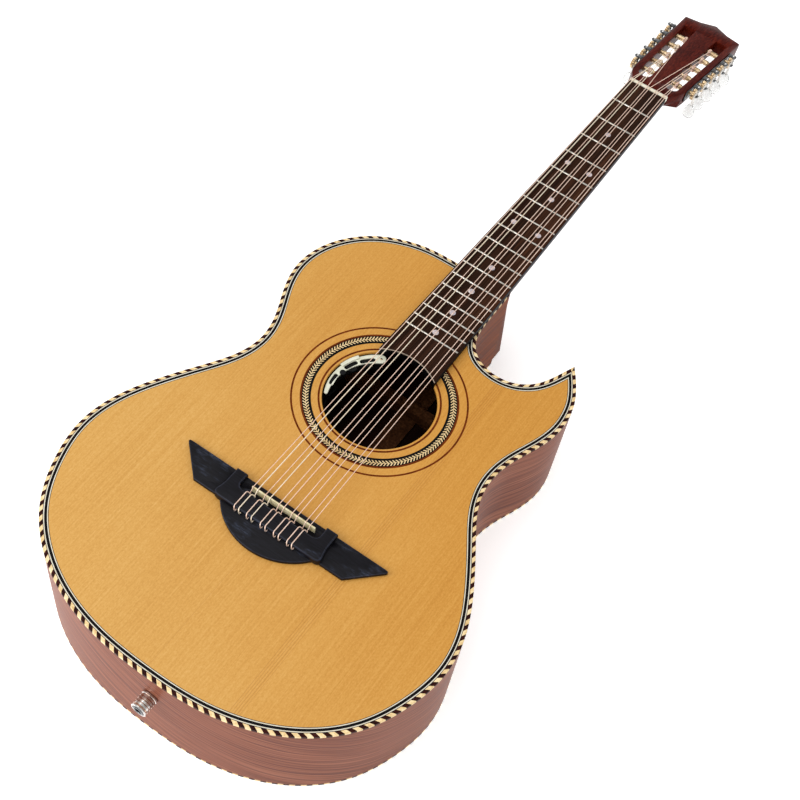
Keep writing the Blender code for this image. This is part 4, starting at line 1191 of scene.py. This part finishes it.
def preamp():
    """The curved control panel in the soundhole, with its windows and its wheels."""
    top = PREAMP_TOP
    cover = Piece("preamp_cover", "ivory_plastic")
    edge = arc_loop(117.8, 209, 41.2, 50.6, 47.0)
    windows = [arc_loop(129.5, 148.5, 42.7, 47.0), arc_loop(151, 168.5, 43.7, 48.0),
               arc_loop(180, 196, 45.2, 48.9)]
    cover.slab(edge, top - 1.6, top, 0.45, windows)
    turns = spread(radians(147), radians(169), 8)
    label = [polar(51.9, turn) for turn in turns] + [polar(48.3, turn) for turn in reversed(turns)]
    cover.slab(label, top - 0.4, top + 1.1, 0.3)
    cover.done("preamp_housing")

    housing = Piece("preamp_box", "black_plastic")
    box_edge = inset_loop(edge, 1.2)
    housing.stack([(PREAMP_LOW, [box_edge]), (top - 1.65, [box_edge])])
    made = housing.done()
    spots = {word: shift(*polar(WHEEL_RING, turn), top) for word, turn in WHEELS.items()}
    pockets = Piece("pockets", "black_plastic")
    for spot in spots.values():
        pockets.turned([(-5.2, 5.8), (0, 5.8)], spot, 32)
    carve(made, pockets.done())
    for word, spot in spots.items():
        wheel = Piece(f"{word}_wheel", "black_plastic")
        rings = []
        for height, size in ((-4.6, 0.94), (-4.3, 1), (-2.2, 1), (-1.9, 0.94)):
            rings.append(shaped_ring(96, lambda turn: WHEEL_R * size - 0.15 * (1 - cos(24 * turn)), height))
        wheel.loft(rings, spot)
        wheel.done(f"preamp_{word}_wheel", body=f"{word}_wheel")
    button = Piece("preamp_button", "black_plastic")
    button.slab(arc_loop(171.0, 178.2, 41.2, 46.8), top - 1.4, top + 0.9, 0.4)
    button.done()
    screw = Piece("preamp_screw", "brass")
    screw.turned([(-0.3, 1.1), (0.2, 1.1), (0.4, 0.8)], shift(*polar(45.5, radians(122.9)), top), 18)
    screw.done()


def jack():
    """The output jack in the tail and the collar round it."""
    low, high = corners_of("endpin_jack")
    collar_low, collar_high = corners_of("jack_collar")
    centre = (low + high) / 2
    place = shift(centre.x + JACK_SHIFT[0], collar_high.y, centre.z + JACK_SHIFT[1])
    out = place @ Matrix.Rotation(pi / 2, 4, "X")
    reach = collar_high.y - collar_low.y - COLLAR_SHORTER
    tip = collar_high.y - low.y - COLLAR_SHORTER
    piece = Piece("jack_collar_metal", "nickel", "brown_reflection_nickel")
    # The grooves have the brownish nickel: a painted reflection of the brown sides.
    rings, looks = [(0, 7.4), (1.4, 7.4), (1.8, 6.9)], [0, 0, 1]
    for start in (2.2, 4.8, 7.4, 10.0):
        rings += [(start, 7.2), (start + 1.8, 7.2), (start + 2.0, 6.8), (start + 2.5, 6.8)]
        looks += [0, 1, 1, 1]
    rings += [(reach - 1.6, 6.8), (reach - 1.0, 7.5), (reach - 0.3, 7.5), (reach, 7.2), (reach, 5.95),
              (0, 5.95)]
    piece.turned(rings, out, 40, looks + [0] * 6, closed=True)
    piece.done("jack_collar")
    # The barrel is in darker nickel: a painted reflection of dark surroundings.
    piece = Piece("jack_barrel", "dark_nickel", "black_plastic")
    profile = [(-46, 4.0), (-31, 4.0), (-30, 5.6), (reach - 0.2, 5.6), (reach + 0.2, 5.2), (tip - 0.5, 5.0),
               (tip, 4.6), (tip, 3.5), (tip - 0.6, 3.2), (tip - 26, 3.2)]
    piece.turned(profile, out, 36, [0] * 8 + [1])
    piece.done("endpin_jack")


# ---------- scene

INNER_LOOKS = {
    "mahogany": ("neck_block", "tail_block"), "cedar": ("top_lining", "back_lining"),
    # the braces' darker spruce is painted shade inside the body
    "brace_shaded_wood": ("top_bracing", "back_bracing"), "maple": ("bridge_plate",), "steel": ("neck_bar",),
    "copper_film": ("saddle_pickup",), "black_plastic": ("pickup_lead", "jack_lead"),
}
CAMERA_PLACE = (0.31834, -0.54877, 1.15458)
CAMERA_RIGHT = Vector((0.82040, 0.56238, 0.10332))
CAMERA_DOWN = Vector((0.51795, -0.65435, -0.55096))
CAMERA_LENS = 63.02         # millimetres, for a sensor 36 mm wide
FLOOR_HALF = 8.0
FLOOR_DROP = 0.0002         # keeps the floor clear of the back
FLOOR_GLOW = 0.48
WORLD_LIGHT = 0.72
KEY_SIZE = 1.0
SUN_ANGLE = radians(45)
LAMPS = {"key": ("AREA", (-0.85, -0.95, 0.95), 12), "high": ("SUN", (-0.5, -0.2, 1.6), 0.7),
         "front": ("SUN", (0.5, -1.4, 1.5), 0.22)}


def inner_nodes():
    """The CAD nodes that stay get their materials."""
    for look, names in INNER_LOOKS.items():
        for name in names:
            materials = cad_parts[name].data.materials
            materials.clear()
            materials.append(LOOKS[look].material)


def floor():
    """The pale floor."""
    mesh = bmesh.new()
    bmesh.ops.create_grid(mesh, x_segments=1, y_segments=1, size=FLOOR_HALF)
    data = bpy.data.meshes.new("floor")
    mesh.to_mesh(data)
    mesh.free()
    paper = Look("paper", Roughness=0.9, Specular_IOR_Level=0.0, Emission_Color=(1, 1, 1, 1),
                 Emission_Strength=FLOOR_GLOW)
    cloud = paper.noise(paper.place(), (3, 3, 3))
    paper.finish(paper.ramp(cloud, (0.3, (0.93, 0.93, 0.93, 1)), (0.7, (0.95, 0.95, 0.95, 1))))
    data.materials.append(paper.material)
    made = add_object("floor", data)
    made.location.z = -FLOOR_DROP


def light():
    """The soft studio light."""
    world = bpy.data.worlds.new("studio")
    world.use_nodes = True
    background = world.node_tree.nodes["Background"]
    background.inputs["Color"].default_value = (1, 1, 1, 1)
    background.inputs["Strength"].default_value = WORLD_LIGHT
    bpy.context.scene.world = world
    bpy.context.scene.view_settings.view_transform = "Standard"
    for name, (kind, place, power) in LAMPS.items():
        data = bpy.data.lights.new(name, kind)
        if kind == "AREA":
            data.size = KEY_SIZE
        else:
            data.angle = SUN_ANGLE
        data.energy = power
        lamp = add_object(name, data)
        lamp.location = place
        lamp.rotation_mode = "QUATERNION"
        lamp.rotation_quaternion = (-Vector(place)).to_track_quat("-Z", "Y")


def camera():
    """The camera."""
    data = bpy.data.cameras.new("camera")
    data.lens = CAMERA_LENS
    data.clip_start = 0.01
    made = add_object("camera", data)
    right, up = CAMERA_RIGHT.normalized(), -CAMERA_DOWN.normalized()
    turn = Matrix((right, up, right.cross(up))).transposed().to_4x4()
    made.matrix_world = Matrix.Translation(CAMERA_PLACE) @ turn
    bpy.context.scene.camera = made


def main():
    """Builds every piece."""
    for build in (bodywork, rosette, neck, fingerboard, frets, nut, bridge, saddle, strings, tuners,
                  preamp, jack, inner_nodes, floor, light, camera):
        build()


main()
